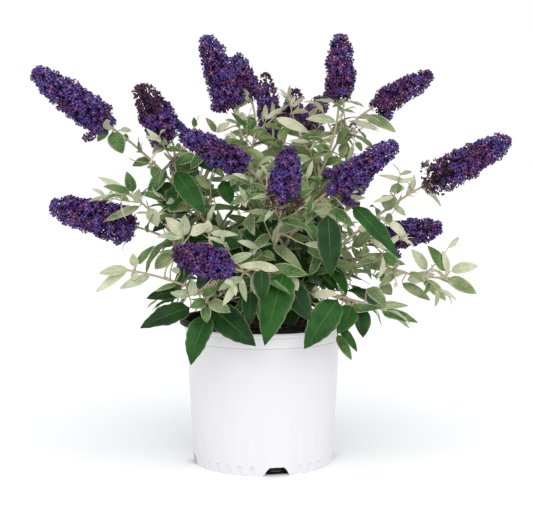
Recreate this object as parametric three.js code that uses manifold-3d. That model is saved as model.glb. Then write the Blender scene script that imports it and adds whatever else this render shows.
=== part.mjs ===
// A butterfly bush in flower, standing in its nursery pot. Millimetres, Z up.
// The origin is the middle of the pot's flat underside, and the bush faces -Y.
import * as THREE from "three";
import { mergeVertices } from "three/addons/utils/BufferGeometryUtils.js";
import Module from "manifold-3d";

const wasm = await Module();
wasm.setup();

// Clear space between neighbouring pieces, and the distance at which two points are one.
const GAP = 0.35;
const WELD = 1e-3;

// Pot: a moulded taper with a stepped collar and a rolled lip.
const POT_HEIGHT = 242;
const POT_SIDES = 48;
const WALL = 2.2;
const FLOOR = 3;
const FOOT_RADIUS = 117;
const BODY_TOP_RADIUS = 128;
const BODY_TOP = 208;
const COLLAR_RADIUS = 130.8;
const BAND_RADIUS = 133.3;
const BAND_BOTTOM = 225;
const LIP_RADIUS = 140;
const LIP_BOTTOM = 233;
const LIP_INSIDE = 131;

// Drainage arches round the foot, and the shallow flutes between them.
const ARCHES = 4;
const FIRST_ARCH = -79;
const ARCH_FOOT = 42;
const ARCH_TOP = 24;
const ARCH_HEIGHT = 16;
const ARCH_DEPTH = 13;
const DRAIN_WIDTH = 16;
const DRAIN_HEIGHT = 7;
const FLUTES_PER_ARCH = 6;
const FIRST_FLUTE = 19.5;
const FLUTE_PITCH = 10.2;
const FLUTE_WIDTH = 8.5;
const FLUTE_HEIGHT = 16;
const FLUTE_DEPTH = 0.9;

// Soil: a shallow mound a little below the lip, level in the middle.
const SOIL_LEVEL = 228;
const SOIL_EDGE = 225;
const SOIL_FLAT = 32;

// Trunk: a short stool with a root flare and a swollen head where it forks.
const TRUNK_PROFILE = [[25, 0], [20, 6], [16, 16], [14.5, 32], [15.5, 48], [15, 58], [9, 66]];
const TRUNK_HEIGHT = 68;
const TRUNK_LEAN = [0.05, 0.04];
const TRUNK_SIDES = 12;
const FLARE_LOBES = 5;
const FLARE_HEIGHT = 22;
const TIER = { low: 252, middle: 268, high: 284 };

// Limbs, as radii. A bough is the first share of the way from the trunk to its spike.
const BOUGH_SHARE = 0.25;
const BOUGH_BASE = 4.4;
const BOUGH_TIP = 3.2;
const STEM_TIP = 1.7;
const TWIG_BASE = 1.6;
const TWIG_TIP = 0.9;

// Leaves, in opposite pairs, each pair a quarter turn on from the last.
const PAIR_GAP = 36;
const PAIR_STAGGER = 3.5;
const LEAF_WIDTH = 0.4;
const LEAF_WAIST = 0.42;
const LEAF_THICK = 0.014;
const LEAF_FOLD = 0.1;
const LEAF_ARCH = 0.07;
// A leaf may touch its own mass only nearer to its root than this share of its length.
const BLADE_START = 0.16;
// A leaf without room is tried again smaller and turned: share of its size, and degrees.
const TRIES = [[1, 0], [0.8, 25], [0.62, -25]];
// How far a mass may reach past the middle between its stems and its neighbours'.
const SPACE_MARGIN = 60;
// Room kept round a leaf or twig that is to be added.
const ROOM = 0.4;

// Flower spikes: the bare stalk's share of the length, and the spacing of the uneven whorls.
const SPIKE_NECK = 0.04;
const WHORL_STEP = 13;
const SPIKE_SIDES = 6;

// Flower spikes: neck at bearing, reach and height; heading and pitch; length and width.
const SPIKES = {
  far_left_high: { neck: [182, 249, 557], aim: [189, 36], size: [153, 60] },
  left_high: { neck: [191, 153, 537], aim: [212, 57], size: [105, 62] },
  left_inner: { neck: [249, 75, 492], aim: [201, 27], size: [123, 50] },
  top_left: { neck: [149, 58, 588], aim: [168, 69], size: [132, 57] },
  top_left_back: { neck: [101, 91, 609], aim: [148, 68], size: [88, 40] },
  back_centre: { neck: [85, 151, 539], aim: [103, 71], size: [127, 44] },
  back_centre_right: { neck: [76, 196, 571], aim: [71, 55], size: [73, 40] },
  top_right_back: { neck: [58, 130, 566], aim: [32, 43], size: [78, 40] },
  top_right: { neck: [9, 128, 604], aim: [71, 85], size: [110, 52] },
  right_high: { neck: [18, 198, 594], aim: [11, 29], size: [117, 47] },
  far_right: { neck: [0, 266, 461], aim: [352, 29], size: [162, 62] },
  right_inner: { neck: [313, 150, 455], aim: [344, 35], size: [129, 55] },
  centre_front: { neck: [281, 153, 436], aim: [277, 46], size: [117, 57] },
  far_left_low: { neck: [188, 211, 395], aim: [193, 15], size: [139, 64] },
  front_left_low: { neck: [253, 178, 342], aim: [206, 16], size: [94, 55] },
  right_low: { neck: [6, 206, 375], aim: [6, 9], size: [99, 52] },
  back_left: { neck: [123, 205, 440], aim: [122, 30], size: [125, 52] },
  back_low: { neck: [88, 205, 405], aim: [86, 20], size: [120, 52] },
  back_right: { neck: [52, 210, 430], aim: [48, 28], size: [120, 52] },
};

// Flowerless shoots: the same measures, ending in a tuft of leaves.
const SHOOTS = {
  left_mid: { neck: [199, 245, 457], aim: [195, 20] },
  left_low: { neck: [207, 245, 332], aim: [205, 9] },
  right_mid: { neck: [345, 303, 317], aim: [352, 6] },
  right_skirt: { neck: [338, 230, 258], aim: [330, -15] },
};

// Boughs: how each leaves the trunk, the spike that its stem ends in, and the other spikes or
// shoots that it carries, each with its arm's place along it.
const BOUGHS = {
  centre_front: { start: [281, 40], tier: "high", spike: "centre_front", arms: {} },
  left_inner: { start: [238, 66], tier: "high", spike: "left_inner", arms: {} },
  right_inner: { start: [316, 50], tier: "high", spike: "right_inner", arms: {} },
  front_left_low: { start: [250, 24], tier: "middle", spike: "front_left_low", arms: {} },
  left: { start: [185, 48], tier: "high", spike: "far_left_high", arms: { left_high: 0.62 } },
  far_right: { start: [350, 30], tier: "middle", spike: "far_right", arms: {} },
  far_left_low: { start: [188, 30], tier: "middle", spike: "far_left_low", arms: { left_mid: 0.58 } },
  right_low: { start: [22, 24], tier: "middle", spike: "right_low", arms: { right_mid: 0.55 } },
  top_left: { start: [140, 72], tier: "high", spike: "top_left", arms: { top_left_back: 0.6 } },
  top_right: { start: [38, 68], tier: "high", spike: "top_right", arms: { top_right_back: 0.62 } },
  right_high: { start: [8, 44], tier: "high", spike: "right_high", arms: {} },
  back: { start: [92, 46], tier: "high", spike: "back_centre", arms: { back_centre_right: 0.66 } },
  back_left: { start: [128, 34], tier: "middle", spike: "back_left", arms: {} },
  back_low: { start: [92, 22], tier: "middle", spike: "back_low", arms: {} },
  back_right: { start: [57, 30], tier: "middle", spike: "back_right", arms: {} },
};

// Skirts: low stems whose large leaves hang over the lip.
// Each leaf: foot at bearing, reach and height; heading and pitch; length and width.
const SKIRTS = {
  front: {
    start: [271, 18],
    hub: [269, 94, 292],
    arms: {},
    leaves: [
      { foot: [284, 134, 329], aim: [242, -59], size: [131, 48] },
      { foot: [236, 145, 272], aim: [318, -28], size: [108, 44] },
      { foot: [287, 115, 318], aim: [315, -48], size: [85, 38] },
      { foot: [262, 140, 300], aim: [268, -60], size: [60, 26] },
      { foot: [300, 92, 286], aim: [262, -52], size: [64, 38] },
    ],
  },
  left: {
    start: [222, 12],
    hub: [218, 95, 284],
    arms: { left_low: 0.9 },
    leaves: [
      { foot: [226, 166, 277], aim: [203, -19], size: [80, 30] },
      { foot: [237, 160, 262], aim: [231, -62], size: [85, 38] },
      { foot: [205, 150, 292], aim: [196, -10], size: [84, 32] },
      { foot: [192, 140, 280], aim: [186, -26], size: [80, 32] },
    ],
  },
  right: {
    start: [322, 14],
    hub: [325, 98, 290],
    arms: { right_skirt: 0.9 },
    leaves: [
      { foot: [317, 162, 285], aim: [227, -41], size: [108, 44] },
      { foot: [331, 164, 270], aim: [244, -31], size: [72, 32] },
      { foot: [337, 178, 263], aim: [262, -65], size: [47, 22] },
      { foot: [318, 163, 240], aim: [340, -52], size: [50, 16] },
      { foot: [352, 140, 288], aim: [350, -12], size: [84, 32] },
    ],
  },
  back_left: { start: [145, 10], hub: [142, 96, 286], arms: {}, leaves: fan(142, 5, 0) },
  back_right: { start: [38, 10], hub: [44, 96, 286], arms: {}, leaves: fan(44, 5, 1) },
};

const PAINT = {
  pot: { color: 0xf2f0f1, roughness: 0.38, metalness: 0 },
  soil: { color: 0x3a2a20, roughness: 0.95, metalness: 0 },
  wood: { color: 0x8b7c66, roughness: 0.9, metalness: 0 },
  leaf: { color: 0x55704a, roughness: 0.7, metalness: 0 },
  flower: { color: 0x3a2270, roughness: 0.75, metalness: 0 },
};

// How a mass's stems, its side arms and its twigs are built and clothed with leaves.
const STEM = { sides: 3, step: 55, pairGap: PAIR_GAP, low: 118, high: 60, axils: [2, 5] };
const ARM = { ...STEM, thick: 2.3, thin: STEM_TIP, axils: [3] };
const TWIG = { sides: 3, step: 45, pairGap: PAIR_GAP, axils: [], tuft: true };

const { lerp, degToRad } = THREE.MathUtils;
const UP = new THREE.Vector3(0, 0, 1);

// A fraction of 0 to 1 that is always the same for the same whole numbers.
function chance(...keys) {
  let h = 0x811c9dc5;
  for (const key of keys) {
    h = Math.imul(h ^ key, 0x01000193);
    h ^= h >>> 15;
    h = Math.imul(h, 0x2c1b3c6d);
    h ^= h >>> 12;
  }
  return (h >>> 0) / 4294967296;
}

function direction([bearing, pitch]) {
  const b = degToRad(bearing);
  const p = degToRad(pitch);
  return new THREE.Vector3(Math.cos(b) * Math.cos(p), Math.sin(b) * Math.cos(p), Math.sin(p));
}

function place([bearing, reach, height]) {
  return direction([bearing, 0]).multiplyScalar(reach).setZ(height);
}

// Evenly spread leaves round one side of the pot, alternately short and long.
function fan(middle, count, seed) {
  return Array.from({ length: count }, (_, i) => {
    const bearing = middle + 22 * (i - (count - 1) / 2);
    const droop = -22 - 26 * chance(seed, i, 1);
    return {
      foot: [bearing, 146 + 16 * (i % 2), 278 + 18 * ((i + 1) % 2)],
      aim: [bearing + 24 * (chance(seed, i, 2) - 0.5), droop],
      size: [78 + 22 * chance(seed, i, 3), 32],
    };
  });
}

// Closed geometry to a solid with its faces outward.
function solid(geometry, weld = 1e-4) {
  for (const name of ["normal", "uv"]) geometry.deleteAttribute(name);
  const merged = mergeVertices(geometry, weld);
  const corners = [];
  const index = merged.index.array;
  for (let i = 0; i < index.length; i += 3) {
    const [a, b, c] = index.slice(i, i + 3);
    if (a !== b && b !== c && c !== a) corners.push(a, b, c);
  }
  const make = (triVerts) => new wasm.Manifold(new wasm.Mesh({
    numProp: 3,
    vertProperties: merged.attributes.position.array,
    triVerts,
  }));
  const made = make(new Uint32Array(corners));
  return made.volume() > 0 ? made : make(new Uint32Array(corners.reverse()));
}

// A profile of [radius, height] points that starts and ends on the axis, turned about Z.
function turned(profile, sides) {
  const points = profile.map(([radius, height]) => new THREE.Vector2(radius, height));
  return solid(new THREE.LatheGeometry(points, sides).rotateX(Math.PI / 2));
}

function extruded(outline, depth) {
  const shape = new THREE.Shape(outline.map(([x, y]) => new THREE.Vector2(x, y)));
  return new THREE.ExtrudeGeometry(shape, { depth, bevelEnabled: false });
}

// The biggest body of a solid, without loose scraps.
function whole(made) {
  return made.decompose().reduce((best, body) => (body.volume() > best.volume() ? body : best));
}

// What is left of a solid outside the given others.
function clearOf(others, made) {
  return whole(others.reduce((rest, other) => rest.subtract(other), made));
}

// Whether every edge joins just two faces, with points closer than a tenth of a weld as one.
function isSound(made) {
  const { vertProperties, triVerts } = made.getMesh();
  const nameOf = (v) => [0, 1, 2].map((i) => Math.round((vertProperties[3 * v + i] * 10) / WELD)).join();
  const uses = new Map();
  for (let i = 0; i < triVerts.length; i += 3) {
    const corners = [0, 1, 2].map((k) => nameOf(triVerts[i + k]));
    if (new Set(corners).size < 3) continue;
    corners.forEach((corner, k) => {
      const edge = [corner, corners[(k + 1) % 3]].sort().join("/");
      uses.set(edge, (uses.get(edge) ?? 0) + 1);
    });
  }
  return [...uses.values()].every((count) => count === 2);
}

// One body from the pieces of a node. A piece that would join it by a sliver is left out.
function fused([stem, ...pieces]) {
  const welded = (made) => whole(solid(geometryOf(made), WELD));
  const joined = pieces.reduce((body, piece) => {
    const more = whole(body.add(piece));
    return isSound(welded(more)) ? more : body;
  }, stem);
  return welded(joined);
}

function geometryOf(made) {
  const { vertProperties, triVerts } = made.getMesh();
  const geometry = new THREE.BufferGeometry();
  geometry.setAttribute("position", new THREE.BufferAttribute(vertProperties, 3));
  return geometry.setIndex(new THREE.BufferAttribute(triVerts, 1));
}

function bodyRadius(height) {
  return lerp(FOOT_RADIUS, BODY_TOP_RADIUS, height / BODY_TOP);
}

// A cutter of the given outline standing upright on the pot's side at a bearing.
function onFoot(outline, bearing, inner, outer) {
  return solid(
    extruded(outline, outer - inner)
      .translate(0, 0, inner)
      .rotateX(Math.PI / 2)
      .rotateZ(degToRad(bearing + 90)),
  );
}

function archCutters(grow) {
  const half = ARCH_FOOT / 2 + grow;
  const top = ARCH_TOP / 2 + grow;
  const high = ARCH_HEIGHT + grow;
  const outline = [[-half, -5], [half, -5], [half, 1], [top, high], [-top, high], [-half, 1]];
  const inner = FOOT_RADIUS - ARCH_DEPTH - grow;
  return Array.from({ length: ARCHES }, (_, i) =>
    onFoot(outline, FIRST_ARCH + 90 * i, inner, FOOT_RADIUS + 8),
  );
}

function drainCutters() {
  const half = DRAIN_WIDTH / 2;
  const low = FLOOR + 1;
  const outline = [[-half, low], [half, low], [half, low + DRAIN_HEIGHT], [-half, low + DRAIN_HEIGHT]];
  const inner = FOOT_RADIUS - ARCH_DEPTH - WALL - 2;
  return Array.from({ length: ARCHES }, (_, i) =>
    onFoot(outline, FIRST_ARCH + 90 * i, inner, inner + WALL + 4),
  );
}

function fluteCutters() {
  const half = FLUTE_WIDTH / 2;
  const spring = FLUTE_HEIGHT - half;
  const outline = [[-half, -3], [half, -3], [half, spring], [0, FLUTE_HEIGHT], [-half, spring]];
  const slope = Math.atan((BODY_TOP_RADIUS - FOOT_RADIUS) / BODY_TOP);
  const cutters = [];
  for (let arch = 0; arch < ARCHES; arch++) {
    for (let i = 0; i < FLUTES_PER_ARCH; i++) {
      const bearing = FIRST_ARCH + 90 * arch + FIRST_FLUTE + FLUTE_PITCH * i;
      cutters.push(solid(
        extruded(outline, 6)
          .rotateX(slope)
          .translate(0, 0, FOOT_RADIUS - FLUTE_DEPTH)
          .rotateX(Math.PI / 2)
          .rotateZ(degToRad(bearing + 90)),
      ));
    }
  }
  return cutters;
}

function cavity(clear, ceiling, edge, sides) {
  return turned([
    [0, FLOOR + clear],
    [bodyRadius(FLOOR) - WALL - clear, FLOOR + clear],
    [BODY_TOP_RADIUS - WALL - clear, BODY_TOP],
    [BAND_RADIUS - WALL - 1.4 - clear, edge],
    ...ceiling,
  ], sides);
}

function makePot() {
  const outside = turned([
    [0, 0],
    [FOOT_RADIUS, 0],
    [BODY_TOP_RADIUS, BODY_TOP],
    [COLLAR_RADIUS - 0.5, BODY_TOP + 4],
    [COLLAR_RADIUS, BAND_BOTTOM - 1],
    [BAND_RADIUS, BAND_BOTTOM + 1],
    [BAND_RADIUS, LIP_BOTTOM],
    [LIP_RADIUS, LIP_BOTTOM + 1],
    [LIP_RADIUS, POT_HEIGHT - 2.5],
    [LIP_RADIUS - 2.5, POT_HEIGHT],
    [0, POT_HEIGHT],
  ], POT_SIDES);
  const brim = POT_HEIGHT + 0.2;
  const mouth = [[LIP_INSIDE, LIP_BOTTOM + 3], [LIP_INSIDE + WALL, brim], [0, brim]];
  const space = cavity(0, mouth, BAND_BOTTOM, POT_SIDES);
  const hollow = clearOf(archCutters(WALL), space);
  return clearOf([hollow, ...archCutters(0), ...drainCutters(), ...fluteCutters()], outside);
}

function makeSoil() {
  const fill = cavity(GAP, [[SOIL_FLAT, SOIL_LEVEL], [0, SOIL_LEVEL]], SOIL_EDGE, POT_SIDES / 2);
  return clearOf(archCutters(WALL + GAP), fill);
}

// The stool, or the space round it that its boughs keep clear of.
function makeTrunk(clear) {
  const low = clear > 0 ? -clear : 0;
  const profile = [
    [0, low],
    ...TRUNK_PROFILE.map(([radius, height]) => [radius + clear, height || low]),
    [0, TRUNK_HEIGHT + clear],
  ];
  const points = profile.map(([radius, height]) => new THREE.Vector2(radius, height));
  const shape = new THREE.LatheGeometry(points, TRUNK_SIDES).rotateX(Math.PI / 2);
  const spot = shape.attributes.position;
  for (let i = 0; i < spot.count; i++) {
    const [x, y, z] = [spot.getX(i), spot.getY(i), spot.getZ(i)];
    const lobes = 0.16 * Math.cos(FLARE_LOBES * Math.atan2(y, x)) * Math.max(0, 1 - z / FLARE_HEIGHT);
    spot.setXYZ(
      i,
      x * (1 + lobes) + TRUNK_LEAN[0] * z,
      y * (1 + lobes) + TRUNK_LEAN[1] * z,
      z + SOIL_LEVEL + GAP,
    );
  }
  return solid(shape);
}

// Point, tangent and cross directions at a distance along a curve.
function frameAt(curve, distance) {
  const part = THREE.MathUtils.clamp(distance / curve.getLength(), 0, 1);
  const point = curve.getPointAt(part);
  const along = curve.getTangentAt(part);
  const side = new THREE.Vector3().crossVectors(along, UP).normalize();
  const over = new THREE.Vector3().crossVectors(side, along);
  return { point, along, side, over };
}

// A tapering limb along a stretch of a curve, widened by grow where it tests for room.
function limb({ curve, from, to, thick, thin, sides, step }, grow = 0) {
  const steps = Math.max(2, Math.round((to - from) / step));
  const shape = new THREE.CylinderGeometry(1, 1, 1, sides, steps);
  const spot = shape.attributes.position;
  for (let i = 0; i < spot.count; i++) {
    const part = spot.getY(i) + 0.5;
    const radius = lerp(thick, thin, part) + grow;
    const { point, side, over } = frameAt(curve, lerp(from, to, part));
    point.addScaledVector(side, spot.getX(i) * radius);
    point.addScaledVector(over, spot.getZ(i) * radius);
    spot.setXYZ(i, point.x, point.y, point.z);
  }
  return solid(shape);
}

// The curve from one place to another that leaves and arrives along given directions.
function sweep(start, leaving, end, arriving) {
  const reach = start.distanceTo(end);
  return new THREE.CubicBezierCurve3(
    start,
    start.clone().addScaledVector(leaving, 0.38 * reach),
    end.clone().addScaledVector(arriving, -0.36 * reach),
    end,
  );
}

// One leaf: root sunk in its twig, edges folded up, arched over to its tip.
function leafSolid({ root, aim, face, length, width }, grow = 0, start = 0) {
  const shape = new THREE.OctahedronGeometry(1, 0);
  const side = new THREE.Vector3().crossVectors(aim, face).normalize();
  const over = new THREE.Vector3().crossVectors(side, aim);
  const spot = shape.attributes.position;
  const foot = start * length;
  for (let i = 0; i < spot.count; i++) {
    const [x, y, z] = [spot.getX(i), spot.getY(i), spot.getZ(i)];
    const middle = Math.abs(y) < 0.5;
    const along = middle ? LEAF_WAIST * length : y < 0 ? foot : length + grow;
    const rise = middle ? LEAF_ARCH * length : start > 0 && y < 0 ? LEAF_ARCH * foot : 0;
    const edge = Math.abs(x) > 0.5 ? LEAF_FOLD * width : 0;
    const point = root.clone()
      .addScaledVector(aim, along)
      .addScaledVector(side, x * (width / 2 + grow))
      .addScaledVector(over, rise + edge + z * ((LEAF_THICK * length) / 2 + grow));
    spot.setXYZ(i, point.x, point.y, point.z);
  }
  return solid(shape);
}

// Everything placed so far, as small solids with their boxes.
const taken = [];

function claim(owner, kind, made, blade = made) {
  taken.push({ owner, kind, made, blade, box: made.boundingBox() });
  return made;
}

function boxesMeet(a, b) {
  return [0, 1, 2].every((i) => a.min[i] <= b.max[i] && b.min[i] <= a.max[i]);
}

// Whether a limb or leaf has room: clear of all other nodes, and of its own node past its root.
function hasRoom(owner, kind, grown, blade) {
  const box = grown.boundingBox();
  return taken.every((other) => {
    if (!boxesMeet(box, other.box)) return true;
    if (other.owner !== owner) return grown.intersect(other.made).isEmpty();
    if (kind === "twig" && other.kind !== "leaf") return true;
    return blade.intersect(other.blade).isEmpty();
  });
}

// Points along every mass's stems: a mass owns the space nearest its own.
const stemPoints = [];

function isOwn(owner, point) {
  let own = Infinity;
  let other = Infinity;
  for (const spot of stemPoints) {
    const away = spot.point.distanceTo(point);
    if (spot.owner === owner) own = Math.min(own, away);
    else other = Math.min(other, away);
  }
  return own < other + SPACE_MARGIN;
}

// Leaves turn their upper face up and out from the middle of the bush, each a little askew.
function leafFace(point, askew) {
  const outward = new THREE.Vector3(point.x, point.y, 0).normalize();
  const round = new THREE.Vector3(-outward.y, outward.x, 0);
  return outward.multiplyScalar(0.6).addScaledVector(round, 2.4 * (askew - 0.5)).setZ(0.6);
}

function addLeaf(node, spec) {
  const grown = leafSolid(spec, ROOM);
  const blade = leafSolid(spec, ROOM, BLADE_START);
  const tip = spec.root.clone().addScaledVector(spec.aim, 0.8 * spec.length);
  if (!isOwn(node.name, tip) || !hasRoom(node.name, "leaf", grown, blade)) return false;
  node.pieces.push(claim(node.name, "leaf", leafSolid(spec), blade));
  return true;
}

function addTwig(node, spec) {
  const grown = limb(spec, ROOM);
  const tip = frameAt(spec.curve, spec.to).point;
  if (!isOwn(node.name, tip) || !hasRoom(node.name, "twig", grown, grown)) return false;
  node.pieces.push(claim(node.name, "twig", limb(spec)));
  return true;
}

// Opposite pairs of leaves up a shoot, smaller to its tip; some lower axils bear side twigs.
function clothe(node, shoot, seed) {
  const first = shoot.from + 0.35 * shoot.pairGap;
  const last = shoot.to - 9;
  const count = Math.max(1, Math.round((last - first) / shoot.pairGap));
  for (let i = 0; i <= count; i++) {
    const part = i / count;
    const joint = frameAt(shoot.curve, lerp(first, last, part));
    for (const half of [0, 1]) {
      const turn = 90 * i + 45 + 180 * half + 40 * (chance(seed, i, half, 1) - 0.5);
      if (shoot.axils.includes(2 * i + half)) {
        sprout(node, shoot, joint, part, turn, seed * 31 + 2 * i + half + 7);
      }
      TRIES.some(([scale, swing], k) => {
        const luck = (channel) => chance(seed, i, half, channel + 10 * k);
        const length = scale * lerp(shoot.low, shoot.high, part) * (0.84 + 0.32 * luck(3));
        const lean = lerp(74, shoot.tuft ? 26 : 52, part);
        const aim = leaning(joint, lean, turn + swing);
        aim.z -= 0.12 + (0.5 * luck(4) * length) / 90;
        return addLeaf(node, {
          root: joint.point.clone().addScaledVector(joint.along, -half * PAIR_STAGGER),
          aim: aim.normalize(),
          face: leafFace(joint.point, luck(5)),
          length,
          width: LEAF_WIDTH * length,
        });
      });
    }
  }
}

// The direction that leans from a limb by one angle, turned round it by another.
function leaning({ along, side, over }, lean, turn) {
  const [l, t] = [degToRad(lean), degToRad(turn)];
  return along.clone().multiplyScalar(Math.cos(l))
    .addScaledVector(side, Math.sin(l) * Math.cos(t))
    .addScaledVector(over, Math.sin(l) * Math.sin(t));
}

// A side twig that leaves its axil and turns up to the light.
function sprout(node, shoot, joint, part, turn, seed) {
  const length = lerp(105, 62, part) * (0.8 + 0.4 * chance(seed, 1));
  const leaving = leaning(joint, 52, turn);
  const end = joint.point.clone().addScaledVector(leaving, length);
  end.z += 0.16 * length * (chance(seed, 2) - 0.2);
  const arriving = leaving.clone().addScaledVector(UP, 0.35).normalize();
  const curve = sweep(joint.point.clone(), leaving, end, arriving);
  const spec = { ...TWIG, curve, from: 0, to: curve.getLength(), thick: TWIG_BASE, thin: TWIG_TIP };
  if (!addTwig(node, spec)) return;
  const low = lerp(shoot.low, shoot.high, part) * 0.84;
  clothe(node, { ...spec, from: 0.35 * spec.to, low, high: 0.72 * low }, seed);
}

// A bough and the curve that its mass's stem grows on along.
function makeBough(name, { start, tier, spike }, trunkSpace) {
  const { neck, aim } = SPIKES[spike];
  const curve = sweep(place([0, 0, TIER[tier]]), direction(start), place(neck), direction(aim));
  const enter = BOUGH_SHARE * curve.getLength();
  const spec = { curve, from: 0, to: enter, thick: BOUGH_BASE, thin: BOUGH_TIP, sides: 5, step: 30 };
  const crowding = taken.filter((other) => other.kind === "bough").map((other) => other.blade);
  const made = clearOf([trunkSpace, ...crowding], limb(spec));
  claim(name, "bough", made, limb(spec, GAP));
  return { curve, enter, made };
}

// The stem of a mass, and its side arms to the other spikes and shoots that it carries.
function massStems({ curve, enter }, { arms }) {
  const stem = { ...STEM, curve, from: enter + GAP, to: curve.getLength(), thick: BOUGH_TIP, thin: STEM_TIP };
  return [stem, ...Object.entries(arms).map((arm) => armOf(curve, arm, 84))];
}

// Fullness of a flower spike along its length, from its neck to its tip.
function spikeShape(part) {
  const swell = THREE.MathUtils.clamp((part - SPIKE_NECK) / 0.14, 0, 1);
  return Math.sqrt(swell) * (1 - part ** 3.6) ** 0.7;
}

// A flower spike: a short stalk, then a tapering body of uneven whorls.
function makeSpike({ neck, aim, size: [length, width] }, seed) {
  const rings = Math.round(length / WHORL_STEP);
  const profile = [new THREE.Vector2(0, 0), new THREE.Vector2(1, 0)];
  for (let i = 0; i < rings; i++) {
    profile.push(new THREE.Vector2(1, lerp(SPIKE_NECK, 1, i / rings)));
  }
  profile.push(new THREE.Vector2(0, 1));
  const shape = new THREE.LatheGeometry(profile, SPIKE_SIDES).rotateX(Math.PI / 2);
  const along = direction(aim);
  const start = place(neck).addScaledVector(along, GAP);
  const side = new THREE.Vector3().crossVectors(along, UP).normalize();
  const over = new THREE.Vector3().crossVectors(side, along);
  const spot = shape.attributes.position;
  for (let i = 0; i < spot.count; i++) {
    const part = THREE.MathUtils.clamp(spot.getZ(i), 0, 1);
    const ring = Math.round(((part - SPIKE_NECK) / (1 - SPIKE_NECK)) * rings);
    const turn = Math.atan2(spot.getY(i), spot.getX(i)) + (ring % 2) * (Math.PI / SPIKE_SIDES);
    const lump = (ring % 2 ? 1.18 : 1.03) * (0.94 + 0.12 * chance(seed, ring, Math.round(turn * 30)));
    const body = (width / 2) * spikeShape(part) * lump;
    const far = Math.hypot(spot.getX(i), spot.getY(i)) * Math.max(body, STEM_TIP);
    const point = start.clone().addScaledVector(along, part * length);
    point.addScaledVector(side, far * Math.cos(turn)).addScaledVector(over, far * Math.sin(turn));
    spot.setXYZ(i, point.x, point.y, point.z);
  }
  return solid(shape);
}

// A side arm that leaves a stem part of the way along it for another spike or shoot.
function armOf(curve, [name, part], low) {
  const { point, along } = frameAt(curve, part * curve.getLength());
  const { neck, aim } = SPIKES[name] ?? SHOOTS[name];
  const end = place(neck);
  const leaving = end.clone().sub(point).normalize().add(along).normalize();
  const arm = sweep(point, leaving, end, direction(aim));
  return { ...ARM, curve: arm, from: 0, to: arm.getLength(), low, tuft: name in SHOOTS };
}

// A skirt's stems: one low stem from the trunk to its hub, and its arms.
function skirtStems({ start, hub, arms }) {
  const curve = sweep(place([0, 0, TIER.low]), direction(start), place(hub), direction([hub[0], 12]));
  const stem = { ...STEM, curve, from: 0, to: curve.getLength(), thick: 3.4, thin: 2, low: 96, high: 84 };
  return [{ ...stem, axils: [] }, ...Object.entries(arms).map((arm) => armOf(curve, arm, 76))];
}

// The large leaves of a skirt, each on a twig from its stem.
function hangLeaves(node) {
  const { curve, to } = node.stems[0];
  node.leaves.forEach(({ foot, aim, size: [length, width] }, i) => {
    const from = frameAt(curve, lerp(0.8, 1, chance(i, 3)) * to);
    const end = place(foot);
    const twig = sweep(from.point, from.along, end, direction(aim).lerp(from.along, 0.5).normalize());
    const spec = { ...TWIG, curve: twig, from: 0, to: twig.getLength(), thick: 1.7, thin: 1.2 };
    if (!addTwig(node, spec)) return;
    const face = UP.clone().addScaledVector(direction([foot[0], 0]), 0.8);
    const root = frameAt(twig, spec.to - 1).point;
    addLeaf(node, { root, aim: direction(aim), face, length, width });
  });
}

function meshOf(name, made, paint) {
  const mesh = new THREE.Mesh(geometryOf(made), new THREE.MeshStandardMaterial(paint));
  mesh.name = name;
  return mesh;
}

const bush = new THREE.Group();

const pot = claim("pot", "pot", makePot());
const soil = claim("soil", "pot", makeSoil());
const trunk = claim("trunk", "trunk", makeTrunk(0));
bush.add(meshOf("pot", pot, PAINT.pot), meshOf("soil", soil, PAINT.soil));
bush.add(meshOf("trunk", trunk, PAINT.wood));

Object.entries(SPIKES).forEach(([name, spike], i) => {
  const made = claim("flowers_" + name, "flower", makeSpike(spike, i));
  bush.add(meshOf("flowers_" + name, made, PAINT.flower));
});

const trunkSpace = makeTrunk(GAP);
const masses = Object.entries(BOUGHS).map(([name, bough]) => {
  const grown = makeBough("bough_" + name, bough, trunkSpace);
  bush.add(meshOf("bough_" + name, grown.made, PAINT.wood));
  return { name: "leaves_" + name, stems: massStems(grown, bough), pieces: [] };
});
for (const mass of masses) {
  for (const stem of mass.stems) mass.pieces.push(claim(mass.name, "stem", limb(stem)));
}

const boughSpace = taken.filter((other) => other.kind === "bough").map((other) => other.blade);
const skirts = Object.entries(SKIRTS).map(([name, skirt]) => {
  const node = { name: "skirt_" + name, stems: skirtStems(skirt), pieces: [] };
  return { ...node, leaves: skirt.leaves };
});
for (const node of skirts) {
  const stem = clearOf([trunkSpace, ...boughSpace], limb(node.stems[0]));
  node.pieces.push(claim(node.name, "stem", stem));
  for (const arm of node.stems.slice(1)) node.pieces.push(claim(node.name, "stem", limb(arm)));
}
for (const node of [...masses, ...skirts]) {
  for (const stem of node.stems) {
    for (let at = stem.from; at < stem.to; at += 12) {
      stemPoints.push({ owner: node.name, point: frameAt(stem.curve, at).point });
    }
  }
}

for (const node of skirts) hangLeaves(node);
[...masses, ...skirts].forEach((node, i) => {
  node.stems.forEach((stem, j) => clothe(node, stem, 100 * i + 10 * j + 3));
});

for (const node of [...masses, ...skirts]) {
  bush.add(meshOf(node.name, fused(node.pieces), PAINT.leaf));
}

export default bush;
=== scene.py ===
import math

import bmesh
import bpy
import numpy as np
from mathutils import Matrix, Vector


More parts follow.
